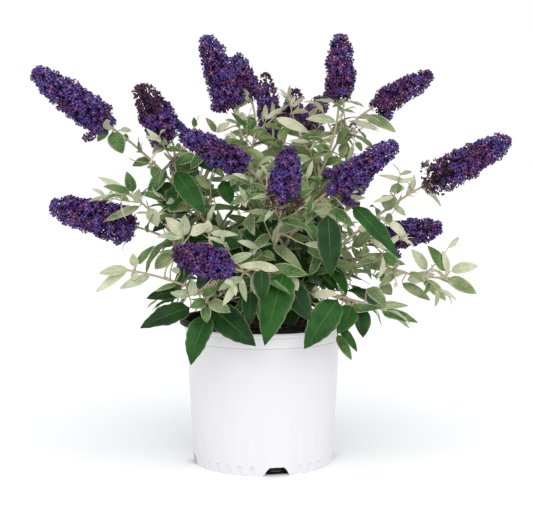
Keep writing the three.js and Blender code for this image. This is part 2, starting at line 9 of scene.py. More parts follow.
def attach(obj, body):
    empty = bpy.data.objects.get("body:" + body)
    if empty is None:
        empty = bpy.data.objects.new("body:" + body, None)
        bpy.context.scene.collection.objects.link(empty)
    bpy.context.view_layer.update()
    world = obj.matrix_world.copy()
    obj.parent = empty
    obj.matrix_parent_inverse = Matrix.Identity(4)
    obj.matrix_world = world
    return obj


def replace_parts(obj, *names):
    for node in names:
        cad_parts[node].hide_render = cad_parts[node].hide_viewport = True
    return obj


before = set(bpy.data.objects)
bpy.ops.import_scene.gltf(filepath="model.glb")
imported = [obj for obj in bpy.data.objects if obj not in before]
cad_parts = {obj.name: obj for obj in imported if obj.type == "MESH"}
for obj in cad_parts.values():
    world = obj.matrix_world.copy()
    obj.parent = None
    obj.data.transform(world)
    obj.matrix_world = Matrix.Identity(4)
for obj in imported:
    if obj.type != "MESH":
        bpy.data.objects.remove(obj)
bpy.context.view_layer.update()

# A butterfly bush in flower, in its nursery pot. Sizes are in millimetres and become metres
# only where a mesh is made. The bush faces -Y, and Z is up.
MM = 0.001
UP = np.array([0.0, 0.0, 1.0])

# Pot.
POT_HEIGHT = 242
POT_STEPS = 144
WALL = 2.2
LIP_ROUND = 2.2
FLOOR = 3
FOOT_RADIUS = 117
BODY_TOP_RADIUS = 128
BODY_TOP = 208
COLLAR_RADIUS = 130.8
BAND_RADIUS = 133.3
BAND_BOTTOM = 225
LIP_RADIUS = 140
LIP_BOTTOM = 233
LIP_INSIDE = 131
ARCHES = 4
FIRST_ARCH = -79
ARCH_HALF_WIDTH = 21
ARCH_OUTLINE = [(-21, -5), (21, -5), (21, 1), (16.5, 9), (11.5, 14), (-11.5, 14), (-16.5, 9),
                (-21, 1)]
ARCH_DEPTH = 13
# Faces in the arches below this height get the black finish as painted shade.
ARCH_SHADE_TOP = 17.5
INSIDE_FROM = 20
DRAIN_OUTLINE = [(-8, 4), (8, 4), (8, 11), (-8, 11)]
FLUTES_PER_ARCH = 6
FIRST_FLUTE = 19.5
FLUTE_PITCH = 10.2
FLUTE_RADIUS = 5.0
FLUTE_PROUD = 1.9
FLUTE_TOP = 11.5
FLUTE_DROP = 16

# Soil and trunk.
SOIL_LEVEL = 228
SOIL_EDGE = 225
SOIL_BOTTOM = 211
SOIL_FLAT = 32
SOIL_RADIUS = 129
TRUNK_STEPS = 40
TRUNK_PROFILE = [(25, 0), (20, 6), (16, 16), (14.5, 32), (15.5, 48), (15, 58), (9, 66), (0, 68)]
TRUNK_LEAN = (0.05, 0.04)
FLARE_LOBES = 5
FLARE_HEIGHT = 22
TIER = {"low": 252, "middle": 268, "high": 284}

# Limbs, as radii. A bough is the first share of the way from the trunk to its spike.
BOUGH_SHARE = 0.25
BOUGH_BASE = 4.4
BOUGH_TIP = 3.2
STEM_TIP = 1.7
ARM_BASE = 2.3
SKIRT_STEM = 3.4, 2.0
HANGING_TWIG = 1.7, 1.1
CARRYING_TWIG = 1.5, 1.0
SIDE_TWIG = 1.5, 0.7

# Flower spikes: neck at bearing, reach and height; heading and pitch; length and width;
# the shares of it that are spent florets at the foot and buds at the tip; how red it is, which
# fades towards the tip, or grows towards it where the number is negative.
SPIKES = {
    "far_left_high": ((182, 249, 557), (189, 36), (157, 60), (0.0, 0.0), 0.2),
    "left_high": ((191, 153, 537), (212, 57), (105, 62), (0.0, 0.42), 0.45),
    "left_inner": ((249, 75, 492), (201, 27), (123, 50), (0.0, 0.0), 0.25),
    "top_left": ((149, 58, 588), (168, 69), (132, 57), (0.0, 0.0), 0.3),
    "top_left_back": ((103, 91, 606), (150, 68), (84, 47), (0.0, 0.0), 0.55),
    "back_centre": ((85, 151, 539), (103, 71), (127, 44), (0.0, 0.3), 0.8),
    "back_centre_right": ((76, 196, 571), (71, 55), (73, 40), (0.0, 0.5), 0.8),
    "top_right_back": ((58, 130, 566), (32, 43), (78, 40), (0.0, 0.25), 0.8),
    "top_right": ((9, 128, 604), (71, 85), (110, 52), (0.08, 0.0), 0.55),
    "right_high": ((18, 198, 594), (11, 29), (117, 47), (0.0, 0.0), 0.65),
    "far_right": ((0, 266, 461), (352, 29), (162, 58), (0.36, 0.0), 0.65),
    "right_inner": ((313, 150, 455), (344, 35), (133, 48), (0.0, 0.0), 0.2),
    "centre_front": ((281, 153, 436), (277, 46), (117, 52), (0.27, 0.0), 0.25),
    "far_left_low": ((188, 211, 395), (193, 15), (143, 64), (0.0, 0.0), 0.3),
    "front_left_low": ((253, 178, 342), (206, 16), (94, 55), (0.0, 0.08), -0.6),
    "right_low": ((6, 206, 375), (6, 9), (99, 52), (0.0, 0.0), 0.35),
    "back_left": ((123, 205, 440), (122, 30), (125, 52), (0.0, 0.1), 0.3),
    "back_low": ((88, 205, 405), (86, 20), (120, 52), (0.1, 0.0), 0.4),
    "back_right": ((52, 210, 430), (48, 28), (120, 52), (0.0, 0.15), 0.3),
}
# Small old flower heads that are wholly spent: middle and radius.
SPENT_HEADS = [((-27, -120, 430), 9), ((-12, -124, 424), 8), ((4, -128, 434), 8),
               ((148, -66, 550), 8), ((140, -68, 541), 7), ((144, -66, 559), 5)]

# Flowerless shoots: neck; heading and pitch.
SHOOTS = {
    "left_mid": ((199, 245, 457), (195, 20)),
    "left_low": ((207, 245, 332), (205, 9)),
    "right_mid": ((345, 303, 317), (352, 6)),
    "right_skirt": ((338, 230, 258), (330, -15)),
}

# Boughs: leaving direction, tier of the trunk, spike, side arms with their place along it.
BOUGHS = {
    "centre_front": ((281, 40), "high", "centre_front", {}),
    "left_inner": ((238, 66), "high", "left_inner", {}),
    "right_inner": ((316, 50), "high", "right_inner", {}),
    "front_left_low": ((250, 24), "middle", "front_left_low", {}),
    "left": ((185, 48), "high", "far_left_high", {"left_high": 0.62}),
    "far_right": ((350, 30), "middle", "far_right", {}),
    "far_left_low": ((188, 30), "middle", "far_left_low", {"left_mid": 0.58}),
    "right_low": ((22, 24), "middle", "right_low", {"right_mid": 0.55}),
    "top_left": ((140, 72), "high", "top_left", {"top_left_back": 0.6}),
    "top_right": ((38, 68), "high", "top_right", {"top_right_back": 0.62}),
    "right_high": ((8, 44), "high", "right_high", {}),
    "back": ((92, 46), "high", "back_centre", {"back_centre_right": 0.66}),
    "back_left": ((128, 34), "middle", "back_left", {}),
    "back_low": ((92, 22), "middle", "back_low", {}),
    "back_right": ((57, 30), "middle", "back_right", {}),
}

# Skirts: leaving direction, hub, arms, and hanging leaves as foot, aim, length and width. Where
# nothing sets the leaves, they hang in a fan.
SKIRTS = {
    "front": ((271, 18), (269, 94, 292), {}, [
        ((284, 134, 329), (242, -59), (131, 52)),
        ((236, 145, 272), (318, -28), (108, 46)),
        ((287, 115, 318), (315, -48), (85, 40)),
        ((262, 140, 300), (268, -60), (60, 26)),
        ((300, 92, 286), (262, -52), (64, 38)),
    ]),
    "left": ((222, 12), (218, 95, 284), {"left_low": 0.9}, [
        ((226, 166, 273), (203, -19), (88, 40)),
        ((237, 160, 262), (231, -62), (85, 40)),
        ((205, 150, 292), (196, -10), (56, 26)),
        ((192, 140, 280), (186, -26), (54, 26)),
    ]),
    "right": ((322, 14), (325, 98, 290), {"right_skirt": 0.9}, [
        ((317, 162, 285), (227, -41), (108, 46)),
        ((331, 164, 270), (244, -31), (72, 34)),
        ((337, 178, 263), (262, -65), (47, 22)),
        ((318, 163, 240), (340, -52), (50, 16)),
        ((352, 140, 288), (350, -12), (62, 26)),
    ]),
    "back_left": ((145, 10), (142, 96, 286), {}, "fan"),
    "back_right": ((38, 10), (44, 96, 286), {}, "fan"),
}


HASH_START = 0x811C9DC5
HASH_FACTORS = 0x01000193, 0x2C1B3C6D
HASH_SIZE = 2**32


def chance(*keys):
    """A fraction of 0 to 1 that is always the same for the same whole numbers."""
    mixed = HASH_START
    for key in keys:
        mixed = (mixed ^ key) * HASH_FACTORS[0] % HASH_SIZE
        mixed ^= mixed >> 15
        mixed = mixed * HASH_FACTORS[1] % HASH_SIZE
        mixed ^= mixed >> 12
    return mixed / HASH_SIZE


def lerp(a, b, part):
    """The value part of the way from a to b."""
    return a + (b - a) * part


def unit(vector):
    """One vector, or each of many, at length 1."""
    return vector / np.linalg.norm(vector, axis=-1, keepdims=True)


def sides_of(along):
    """Two directions square to one direction, or to each of many: level, and upward."""
    side = unit(np.cross(along, UP))
    return side, np.cross(side, along)


def direction(bearing, pitch):
    """A direction from its bearing, counted from +X towards +Y, and its pitch above level."""
    b, p = math.radians(bearing), math.radians(pitch)
    return np.array([math.cos(b) * math.cos(p), math.sin(b) * math.cos(p), math.sin(p)])


def place(bearing, reach, height):
    """A point at a bearing, a distance from the pot's axis and a height."""
    return direction(bearing, 0) * reach + UP * height


class Route:
    """A smooth curve that leaves and arrives along given directions, read by distance."""

    def __init__(self, start, leaving, end, arriving):
        reach = np.linalg.norm(end - start)
        self.ends = np.array([start, start + 0.38 * reach * leaving,
                              end - 0.36 * reach * arriving, end])
        self.parts = np.linspace(0, 1, 121)
        steps = np.linalg.norm(np.diff(self.points(self.parts), axis=0), axis=1)
        self.far = np.concatenate([[0], np.cumsum(steps)])
        self.length = self.far[-1]

    def points(self, t):
        """Points at shares of the curve's own parameter, from 0 to 1."""
        t = np.asarray(t, float)[..., None]
        a, b, c, d = self.ends
        return (1 - t) ** 3 * a + 3 * t * (1 - t) ** 2 * b + 3 * t**2 * (1 - t) * c + t**3 * d

    def frames(self, distance):
        """Point, tangent and cross directions at one distance or at many."""
        t = np.interp(distance, self.far, self.parts)
        spot = np.asarray(t)[..., None]
        a, b, c, d = self.ends
        along = unit((1 - spot) ** 2 * (b - a) + 2 * spot * (1 - spot) * (c - b)
                     + spot**2 * (d - c))
        return self.points(t), along, *sides_of(along)


def leaning(joint, lean, turn):
    """The direction that leans from a limb by one angle, turned round it by another."""
    _, along, side, over = joint
    lean, turn = math.radians(lean), math.radians(turn)
    cross = side * math.cos(turn) + over * math.sin(turn)
    return along * math.cos(lean) + cross * math.sin(lean)


# What has been grown: limbs to be made into bark or felt, leaves by kind, and large leaves that
# wait to be hung.
limbs = {"bough": [], "stem": [], "twig": []}
leaves = {"deep": [], "fresh": [], "sage": []}
hanging = []

SPIKE_FOOT = np.array([place(*neck) for neck, *_ in SPIKES.values()])
SPIKE_AIM = np.array([direction(*aim) for _, aim, *_ in SPIKES.values()])
SPIKE_LONG, SPIKE_WIDTH = np.array([size for _, _, size, _, _ in SPIKES.values()]).T


def fullness(part):
    """Fullness of a flower spike along its length, from its neck to its tip."""
    swell = np.clip((part - 0.04) / 0.14, 0, 1)
    part = np.clip(part, 0, 1)
    return np.sqrt(swell) * (1 - 0.42 * part**2.2) * (1 - part**12) ** 0.5


def in_spike(points):
    """Whether any of the points is inside a flower spike."""
    away = points[:, None] - SPIKE_FOOT
    part = (away * SPIKE_AIM).sum(-1) / SPIKE_LONG
    off = np.linalg.norm(away - (part * SPIKE_LONG)[..., None] * SPIKE_AIM, axis=-1)
    return bool(np.any((part > 0.02) & (part < 1) & (off < SPIKE_WIDTH / 2 * fullness(part))))


def in_pot(points):
    """Whether any of the points is inside the pot's side, its lip or the soil."""
    out = np.hypot(points[:, 0], points[:, 1])
    high = points[:, 2]
    below = (high < POT_HEIGHT + 1.5) & (out < LIP_RADIUS + 1.5)
    inside = (out < LIP_INSIDE - 1) & (high > SOIL_LEVEL + 1)
    outside = (high < LIP_BOTTOM - 1) & (out > BAND_RADIUS + 1.5)
    return bool(np.any(below & ~inside & ~outside))


# The camera and the picture that it takes, with the lens's length in that picture's pixels.
VIEWPOINT = np.array([5.5, -2060, 522])
LOOKING_DOWN = math.radians(4.95)
LENS, SENSOR = 83.55, 36
PICTURE_WIDTH, PICTURE_HEIGHT = 533, 513
PICTURE_MIDDLE = np.array([PICTURE_WIDTH / 2, PICTURE_HEIGHT / 2])
LENS_PIXELS = PICTURE_WIDTH * LENS / SENSOR

# Open places in the crown, given as middle and radius in the picture's pixels.
OPEN_PLACES = {
    "under_far_left_neck": (109, 163, 14),
    "beside_left_sprout": (141, 178, 6),
    "over_left_arm": (134, 145, 5),
    "between_left_spikes": (200, 97, 10),
    "over_left_inner_spike": (226, 126, 3),
    "behind_long_leaf": (224, 201, 4),
    "under_long_leaf": (227, 212, 4),
    "left_of_middle": (202, 221, 4),
    "over_low_left_arm": (149, 241, 8),
    "beside_low_left_arm": (148, 255, 8),
    "under_far_left_low_spike": (108, 255, 12),
    "beside_low_left_spike": (167, 264, 5),
    "right_of_low_left_spike": (234, 250, 4),
    "under_low_left_arm": (138, 292, 9),
    "left_of_front_spike": (252, 143, 4),
    "between_top_spikes": (326, 128, 4),
    "over_front_spike": (291, 138, 4),
    "beside_upright_stem": (335, 146, 4),
    "over_right_inner_spike": (378, 141, 7),
    "under_right_inner_spike": (384, 182, 6),
    "under_right_arm": (408, 207, 9),
    "beside_broad_leaf": (362, 217, 5),
    "under_right_low_spike": (401, 254, 7),
    "over_right_shoot": (386, 264, 4),
    "right_of_middle": (352, 255, 4),
    "low_right_of_middle": (326, 283, 5),
    "over_low_right_arm": (343, 291, 4),
    "under_right_shoot": (403, 298, 8),
    "under_low_right_arm": (386, 330, 10),
}
OPEN_SPOTS = np.array(list(OPEN_PLACES.values()))


def in_picture(points):
    """Where points come in the picture, in pixels across and down."""
    off = points - VIEWPOINT
    ahead = off[:, 1] * math.cos(LOOKING_DOWN) - off[:, 2] * math.sin(LOOKING_DOWN)
    up = off[:, 1] * math.sin(LOOKING_DOWN) + off[:, 2] * math.cos(LOOKING_DOWN)
    return PICTURE_MIDDLE + LENS_PIXELS * np.stack([off[:, 0], -up], axis=1) / ahead[:, None]


def sight(spot):
    """The direction in which the camera sees a spot of the picture."""
    across, down = (np.array(spot) - PICTURE_MIDDLE) / LENS_PIXELS
    return unit(np.array([
        across,
        math.cos(LOOKING_DOWN) - down * math.sin(LOOKING_DOWN),
        -math.sin(LOOKING_DOWN) - down * math.cos(LOOKING_DOWN),
    ]))


def seen_at(spot, depth):
    """The point at a depth behind the middle, seen at a spot of the picture."""
    beam = sight(spot)
    return VIEWPOINT + beam * (depth - VIEWPOINT[1]) / beam[1]


def in_the_open(points):
    """Whether any of the points is seen in one of the open places."""
    off = in_picture(points)[:, None] - OPEN_SPOTS[None, :, :2]
    return bool(np.any(np.linalg.norm(off, axis=2) < OPEN_SPOTS[:, 2]))


# Spots of a leaf that are tested for room: half-widths across, and shares of its length.
LEAF_TESTS = np.array([[0, 0.2], [0, 0.45], [0, 0.7], [0, 1], [-0.8, 0.4], [0.8, 0.4]])
CLEAR_SPOTS = [(0.6 * i, 0.12 * j) for i in (-1, 0, 1) for j in range(1, 9)]
CELL = 12
LEAF_ROOM = 8.5
YOUNG_LEAF_ROOM = 4.0
ROOM_ROUND_PLACED_LEAVES = 11
crowded, kept_clear = {}, {}


def has_room(leaf, room):
    """Whether a leaf is clear of the flower spikes and the pot, and of the leaves round it.

    Leaves that are placed one by one have room 0: they needn't be clear of other leaves, and
    later leaves keep away from them.
    """
    side = unit(np.cross(leaf["aim"], leaf["face"]))
    spots = leaf["root"] + LEAF_TESTS[:, 1:] * leaf["length"] * leaf["aim"]
    spots = spots + LEAF_TESTS[:, :1] * leaf["width"] / 2 * side
    if in_pot(spots) or in_spike(spots) or (room and in_the_open(spots)):
        return False
    middle = spots[1]
    if room:
        if any(np.linalg.norm(other - middle) < room for other in near(middle, crowded)):
            return False
        if any(np.linalg.norm(other - spot) < ROOM_ROUND_PLACED_LEAVES for spot in spots[1:4]
               for other in near(spot, kept_clear)):
            return False
    else:
        for u, v in CLEAR_SPOTS:
            spot = leaf["root"] + v * leaf["length"] * leaf["aim"] + u * leaf["width"] / 2 * side
            kept_clear.setdefault(cell_of(spot), []).append(spot)
    crowded.setdefault(cell_of(middle), []).append(middle)
    return True


def cell_of(spot):
    """The cell of space that a spot is in, so that its neighbours are quick to find."""
    return tuple(int(c // CELL) for c in spot)


def near(spot, found):
    """What has been found in a spot's own cell and in the cells round it."""
    a, b, c = cell_of(spot)
    return [other for i in (-1, 0, 1) for j in (-1, 0, 1) for k in (-1, 0, 1)
            for other in found.get((a + i, b + j, c + k), [])]


def leaf_face(point, askew):
    """Leaves turn their upper face up and out from the middle, each a little askew."""
    outward = unit(np.array([point[0], point[1], 0.0]))
    round_ = np.array([-outward[1], outward[0], 0.0])
    return outward * 0.8 + round_ * 1.8 * (askew - 0.5) + UP * 0.6


def add_leaf(kind, root, aim, face, length, width, seed, room=LEAF_ROOM):
    """A leaf with its own bend, fold, twist and wave, if there is room for it."""
    luck = [chance(seed, channel) for channel in range(4)]
    leaf = {
        "root": root, "aim": unit(aim), "face": face, "length": length, "width": width,
        "bend": lerp(0.3, 1.15, luck[0]), "fold": lerp(0.12, 0.5, luck[1]),
        "twist": lerp(-0.5, 0.5, luck[2]), "wave": luck[3],
    }
    if has_room(leaf, room):
        leaves[kind].append(leaf)


# Ages up to which leaves are deep and fresh, the width of each kind as a share of its length,
# and the longest leaf near the pot's axis and far out.
DEEP_UNTIL, FRESH_UNTIL = 0.33, 0.96
LEAF_BREADTH = {"deep": 0.38, "fresh": 0.28, "sage": 0.26}
LONGEST_LEAF = 110, 62
# Along a stem and along a side twig: the gap between pairs of leaves, and how far leaves lean
# out at its foot, in degrees. Then the share of a stem's axils that sprout, and how far.
STEM_GAP, STEM_LEAF_LEAN = 29, 72
TWIG_GAP, TWIG_LEAF_LEAN = 19, 62
SPROUTING, TWIG_REACH, TWIG_LEAN = 0.46, 92, 52


def kind_of(age, luck):
    """Leaves are deep green low on old wood, then fresh green, and felted sage on young shoots."""
    ripe = age + 0.5 * (luck - 0.5)
    return "deep" if ripe < DEEP_UNTIL else "fresh" if ripe < FRESH_UNTIL else "sage"


def clothe(shoot, seed):
    """Opposite pairs of leaves up a shoot, smaller to its tip, with side twigs in the axils."""
    first = shoot["from"] + 0.35 * shoot["gap"]
    last = shoot["to"] - 4
    count = max(1, round((last - first) / shoot["gap"]))
    for i in range(count + 1):
        part = i / count
        far = 1 - (1 - part) ** 1.5 if shoot["tuft"] else part
        joint = shoot["route"].frames(lerp(first, last, far))
        for half in (0, 1):
            luck = [chance(seed, i, half, channel) for channel in range(1, 8)]
            turn = 90 * i + 45 + 180 * half + 40 * (luck[0] - 0.5)
            if luck[6] < shoot["axils"] and part < 0.85:
                sprout(shoot, joint, part, turn, seed * 31 + 2 * i + half + 7)
            spread = min(1, max(0, (np.hypot(*joint[0][:2]) - 110) / 110))
            length = lerp(shoot["low"], shoot["high"], part) * (0.8 + 0.4 * luck[2])
            length = min(length, lerp(*LONGEST_LEAF, spread))
            lean = lerp(shoot["open"], 26 if shoot["tuft"] else 50, part)
            aim = leaning(joint, lean, turn)
            droop = lerp(0.55, 0.12 if shoot["tuft"] else 0.35, part)
            aim = unit(aim) - UP * (droop + 0.45 * luck[3])
            age = lerp(shoot["age"], 1, part**1.25) + 0.25 * spread
            kind = kind_of(age, luck[5])
            width = length * LEAF_BREADTH[kind]
            face = leaf_face(joint[0], luck[4])
            key = seed * 64 + 2 * i + half
            add_leaf(kind, joint[0], aim, face, length, width, key)
            if shoot["tufts"] and luck[1] < 0.4:
                small_pair(joint, turn, length, key)


def small_pair(joint, turn, length, seed):
    """The two or three small young leaves of a shoot that sleeps in an axil."""
    for k in range(3):
        luck = [chance(seed, k, channel) for channel in (11, 12, 13)]
        aim = leaning(joint, 30 + 40 * luck[0], turn + 70 * (k - 1) + 30 * (luck[1] - 0.5))
        small = length * lerp(0.26, 0.46, luck[2])
        add_leaf("sage", joint[0], aim, leaf_face(joint[0], luck[1]), small, 0.3 * small,
                 seed * 8 + k, room=YOUNG_LEAF_ROOM)


def sprout(shoot, joint, part, turn, seed):
    """A side twig that leaves its axil and turns up to the light."""
    length = lerp(shoot["reach"], 0.55 * shoot["reach"], part) * (0.7 + 0.5 * chance(seed, 1))
    leaving = unit(leaning(joint, TWIG_LEAN, turn) + 0.25 * UP)
    end = joint[0] + leaving * length + UP * 0.16 * length * (chance(seed, 2) - 0.2)
    arriving = unit(leaving + 0.35 * UP)
    route = Route(joint[0], leaving, end, arriving)
    ahead = route.points(np.linspace(0.25, 1, 6))
    if in_pot(ahead) or in_spike(ahead) or in_the_open(ahead):
        return
    limbs["twig"].append((route, 0, route.length, *SIDE_TWIG))
    low = lerp(shoot["low"], shoot["high"], part) * 0.72
    twig = {
        "route": route, "from": 0.2 * route.length, "to": route.length, "gap": TWIG_GAP,
        "low": low, "high": 0.62 * low, "axils": 0.0, "reach": 0, "open": TWIG_LEAF_LEAN,
        "tuft": True, "tufts": False, "age": lerp(shoot["age"] + 0.1, 1, 0.6 * part),
    }
    clothe(twig, seed)


def stem_shoot(route, start, low, high, age, tuft=False):
    """A stem to be clothed: the sizes of its leaves low and high, and how old its wood is."""
    return {
        "route": route, "from": start, "to": route.length, "gap": STEM_GAP,
        "low": low, "high": high, "axils": SPROUTING, "reach": TWIG_REACH,
        "open": STEM_LEAF_LEAN, "tuft": tuft, "tufts": True, "age": age,
    }


def arm_of(route, name, part, low):
    """A side arm that leaves a stem part of the way along it for another spike or shoot."""
    point, along, _, _ = route.frames(part * route.length)
    neck, aim = (SPIKES.get(name) or SHOOTS[name])[:2]
    end = place(*neck)
    leaving = unit(unit(end - point) + along)
    arm = Route(point, leaving, end, direction(*aim))
    limbs["stem"].append((arm, 0, arm.length, ARM_BASE, STEM_TIP))
    return stem_shoot(arm, 0, low, 56, 0.45, name in SHOOTS)


def grow_masses():
    """Every bough with the mass that grows on from it."""
    stems = []
    for name, (start, tier, spike, arms) in BOUGHS.items():
        neck, aim = SPIKES[spike][:2]
        route = Route(place(0, 0, TIER[tier]), direction(*start), place(*neck), direction(*aim))
        enter = BOUGH_SHARE * route.length
        limbs["bough"].append((route, 0, enter, BOUGH_BASE, BOUGH_TIP))
        limbs["stem"].append((route, enter, route.length, BOUGH_TIP, STEM_TIP))
        shoots = [stem_shoot(route, enter, 100, 54, 0.12)]
        shoots += [arm_of(route, arm, part, 84) for arm, part in arms.items()]
        stems.append(("leaves_" + name, shoots))
    return stems


def fan(middle, count, seed):
    """Evenly spread leaves round one side of the pot, alternately short and long."""
    found = []
    for i in range(count):
        bearing = middle + 22 * (i - (count - 1) / 2)
        droop = -22 - 26 * chance(seed, i, 1)
        foot = (bearing, 146 + 16 * (i % 2), 278 + 18 * ((i + 1) % 2))
        aim = (bearing + 24 * (chance(seed, i, 2) - 0.5), droop)
        length = (78 + 22 * chance(seed, i, 3)) * (0.62 if 155 < bearing < 190 else 1)
        found.append((foot, aim, (length, 34)))
    return found


def grow_skirts():
    """The low stems that carry leaves over the pot's lip, with those leaves' own twigs."""
    stems = []
    for order, (name, (start, hub, arms, hung)) in enumerate(SKIRTS.items()):
        route = Route(place(0, 0, TIER["low"]), direction(*start), place(*hub),
                      direction(hub[0], 12))
        limbs["stem"].append((route, 0, route.length, *SKIRT_STEM))
        if hung == "fan":
            hung = fan(hub[0], 5, order - 3)
        for i, (foot, aim, (length, width)) in enumerate(hung):
            point, along, _, _ = route.frames(lerp(0.8, 1, chance(i, 3)) * route.length)
            twig = Route(point, along, place(*foot), unit(direction(*aim) * 0.5 + along * 0.5))
            limbs["twig"].append((twig, 0, twig.length, *HANGING_TWIG))
            hanging.append((foot, aim, (length, width), foot[0] * 10 + i))
        shoots = [dict(stem_shoot(route, 30, 92, 80, 0.0), axils=0.35, reach=60)]
        shoots += [dict(arm_of(route, arm, part, 58), axils=0.25, reach=48)
                   for arm, part in arms.items()]
        stems.append(("skirt_" + name, shoots))
    return stems


# Large leaves that are placed one by one: foot, aim, length and width.
LARGE_LEAVES = [
    ((199, 149, 486), (310, -41), (106, 34)),
    ((190, 119, 472), (233, -43), (73, 54)),
    ((322, 180, 433), (330, -45), (112, 36)),
    ((308, 164, 420), (277, -72), (100, 40)),
    ((269, 170, 338), (274, -57), (56, 26)),
]
# Leaves that stand out by themselves, listed for each sprout: kind, foot and tip in the
# picture's pixels, width in pixels, and a depth where the nearest stem in sight isn't meant.
SINGLE_LEAVES = {
    "right_shoot_tip": [
        ("sage", (427, 270), (411, 249), 10), ("fresh", (446, 271), (427, 245), 11),
        ("sage", (448, 273), (443, 250), 6), ("sage", (451, 271), (480, 266), 10),
        ("fresh", (448, 278), (477, 294), 12), ("fresh", (424, 280), (447, 302), 10),
    ],
    "right_shoot": [
        ("fresh", (402, 283), (431, 301), 9), ("sage", (408, 281), (436, 274), 11),
        ("sage", (374, 276), (408, 272), 9), ("fresh", (368, 288), (387, 307), 12),
        ("fresh", (381, 284), (392, 295), 11), ("fresh", (381, 254), (399, 267), 12),
        ("fresh", (361, 259), (381, 271), 10),
    ],
    "low_right_arm": [
        ("fresh", (337, 335), (352, 361), 9),
        ("fresh", (382, 312), (419, 323), 11), ("fresh", (341, 309), (382, 308), 9),
        ("deep", (362, 309), (363, 338), 14), ("deep", (347, 309), (345, 333), 15),
    ],
    "top_right": [
        ("fresh", (366, 117), (397, 133), 11), ("sage", (349, 121), (379, 129), 6),
        ("sage", (336, 122), (304, 119), 8),
    ],
    "top_middle": [
        ("sage", (276, 118), (310, 133), 9, 60), ("fresh", (285, 130), (311, 135), 9),
        ("fresh", (290, 145), (323, 157), 9), ("fresh", (248, 116), (252, 137), 13),
    ],
    "right_arm": [
        ("sage", (408, 183), (377, 175), 5), ("sage", (390, 190), (405, 188), 9),
        ("fresh", (390, 195), (387, 212), 15), ("sage", (394, 206), (406, 216), 6),
        ("fresh", (430, 184), (422, 193), 10), ("deep", (437, 188), (431, 203), 6),
    ],
    "left_arm": [
        ("fresh", (112, 132), (123, 154), 15), ("fresh", (150, 160), (132, 166), 9),
        ("fresh", (169, 141), (152, 154), 10), ("fresh", (166, 169), (147, 197), 12),
        ("deep", (159, 183), (176, 209), 19), ("fresh", (204, 152), (190, 170), 9, -30),
        ("deep", (196, 158), (217, 172), 11, -20), ("fresh", (196, 156), (173, 166), 11),
        ("sage", (172, 169), (190, 178), 8), ("fresh", (200, 164), (170, 170), 13),
        ("fresh", (199, 176), (176, 161), 11), ("fresh", (199, 184), (209, 192), 8),
    ],
    "left_sprout": [
        ("fresh", (133, 192), (126, 170), 10), ("fresh", (130, 193), (102, 186), 8),
        ("fresh", (140, 206), (103, 222), 8), ("sage", (149, 208), (158, 227), 12),
        ("fresh", (166, 209), (195, 208), 9),
    ],
    "left_front": [
        ("sage", (183, 235), (165, 217), 11, -110), ("sage", (185, 235), (185, 214), 9, -110),
        ("sage", (190, 235), (210, 224), 9, -112), ("sage", (183, 237), (156, 237), 8, -112),
        ("sage", (210, 233), (239, 235), 7, -118), ("sage", (208, 233), (208, 219), 8, -116),
        ("deep", (210, 243), (248, 245), 14, -80), ("deep", (244, 231), (266, 240), 13, -70),
        ("deep", (222, 181), (232, 206), 14, -60),
    ],
    "low_left_arm": [
        ("sage", (128, 269), (98, 274), 9), ("sage", (135, 267), (133, 253), 8),
        ("fresh", (137, 264), (155, 245), 8), ("sage", (136, 271), (133, 281), 7),
        ("sage", (150, 276), (119, 289), 9), ("fresh", (172, 254), (154, 270), 13, -60),
        ("fresh", (177, 284), (154, 292), 5),
    ],
    "low_left_front": [
        ("sage", (193, 296), (193, 279), 8, -158), ("sage", (190, 296), (170, 293), 7, -158),
        ("fresh", (202, 295), (218, 288), 9, -160), ("fresh", (208, 302), (232, 313), 11, -158),
        ("fresh", (205, 305), (207, 323), 9, -160), ("fresh", (206, 301), (190, 308), 11, -158),
    ],
    "low_middle_front": [
        ("sage", (304, 244), (336, 247), 6, -120), ("fresh", (270, 268), (309, 275), 12, -120),
        ("sage", (289, 277), (298, 291), 10, -122), ("sage", (313, 295), (339, 294), 8, -110),
        ("deep", (284, 277), (308, 313), 20, -60), ("fresh", (258, 271), (263, 303), 16),
        ("sage", (279, 270), (236, 266), 9, -130), ("sage", (226, 263), (254, 253), 8),
    ],
    "upper_left_sprigs": [
        ("fresh", (195, 127), (194, 117), 5), ("fresh", (216, 132), (205, 117), 6),
        ("sage", (217, 132), (231, 122), 7), ("sage", (237, 136), (224, 135), 4),
        ("fresh", (249, 145), (228, 142), 5), ("sage", (246, 115), (236, 124), 5),
    ],
    "upper_middle_sprigs": [
        ("fresh", (279, 137), (271, 157), 14), ("fresh", (341, 158), (316, 167), 9),
        ("fresh", (321, 144), (331, 154), 7), ("fresh", (344, 144), (341, 158), 8),
        ("fresh", (346, 132), (338, 137), 7), ("fresh", (323, 141), (304, 139), 4),
        ("sage", (310, 142), (288, 141), 4), ("fresh", (356, 142), (362, 152), 6),
        ("sage", (302, 160), (325, 164), 5), ("fresh", (300, 164), (305, 173), 5),
    ],
    "inside_left": [
        ("fresh", (157, 166), (152, 177), 8), ("deep", (167, 221), (152, 232), 9),
        ("sage", (239, 175), (221, 180), 7), ("sage", (254, 181), (238, 178), 6),
        ("sage", (264, 209), (247, 218), 6), ("fresh", (173, 242), (161, 246), 8),
        ("sage", (274, 195), (250, 199), 4), ("sage", (180, 271), (171, 270), 6),
    ],
    "inside_right": [
        ("fresh", (353, 201), (345, 212), 6), ("fresh", (332, 210), (354, 227), 10),
        ("sage", (331, 209), (315, 214), 7), ("sage", (358, 227), (380, 236), 9),
    ],
    "far_left_neck": [
        ("sage", (120, 130), (132, 131), 5), ("fresh", (108, 130), (97, 142), 8),
    ],
}
LEANS_FORWARD = 0.3
FRONT_STEMS_FIRST = 0.12
SINGLE_BREADTH = 1.15
SINGLE_SEED = 4000
SHORTEST_TWIG, LONGEST_TWIG = 1.5, 150


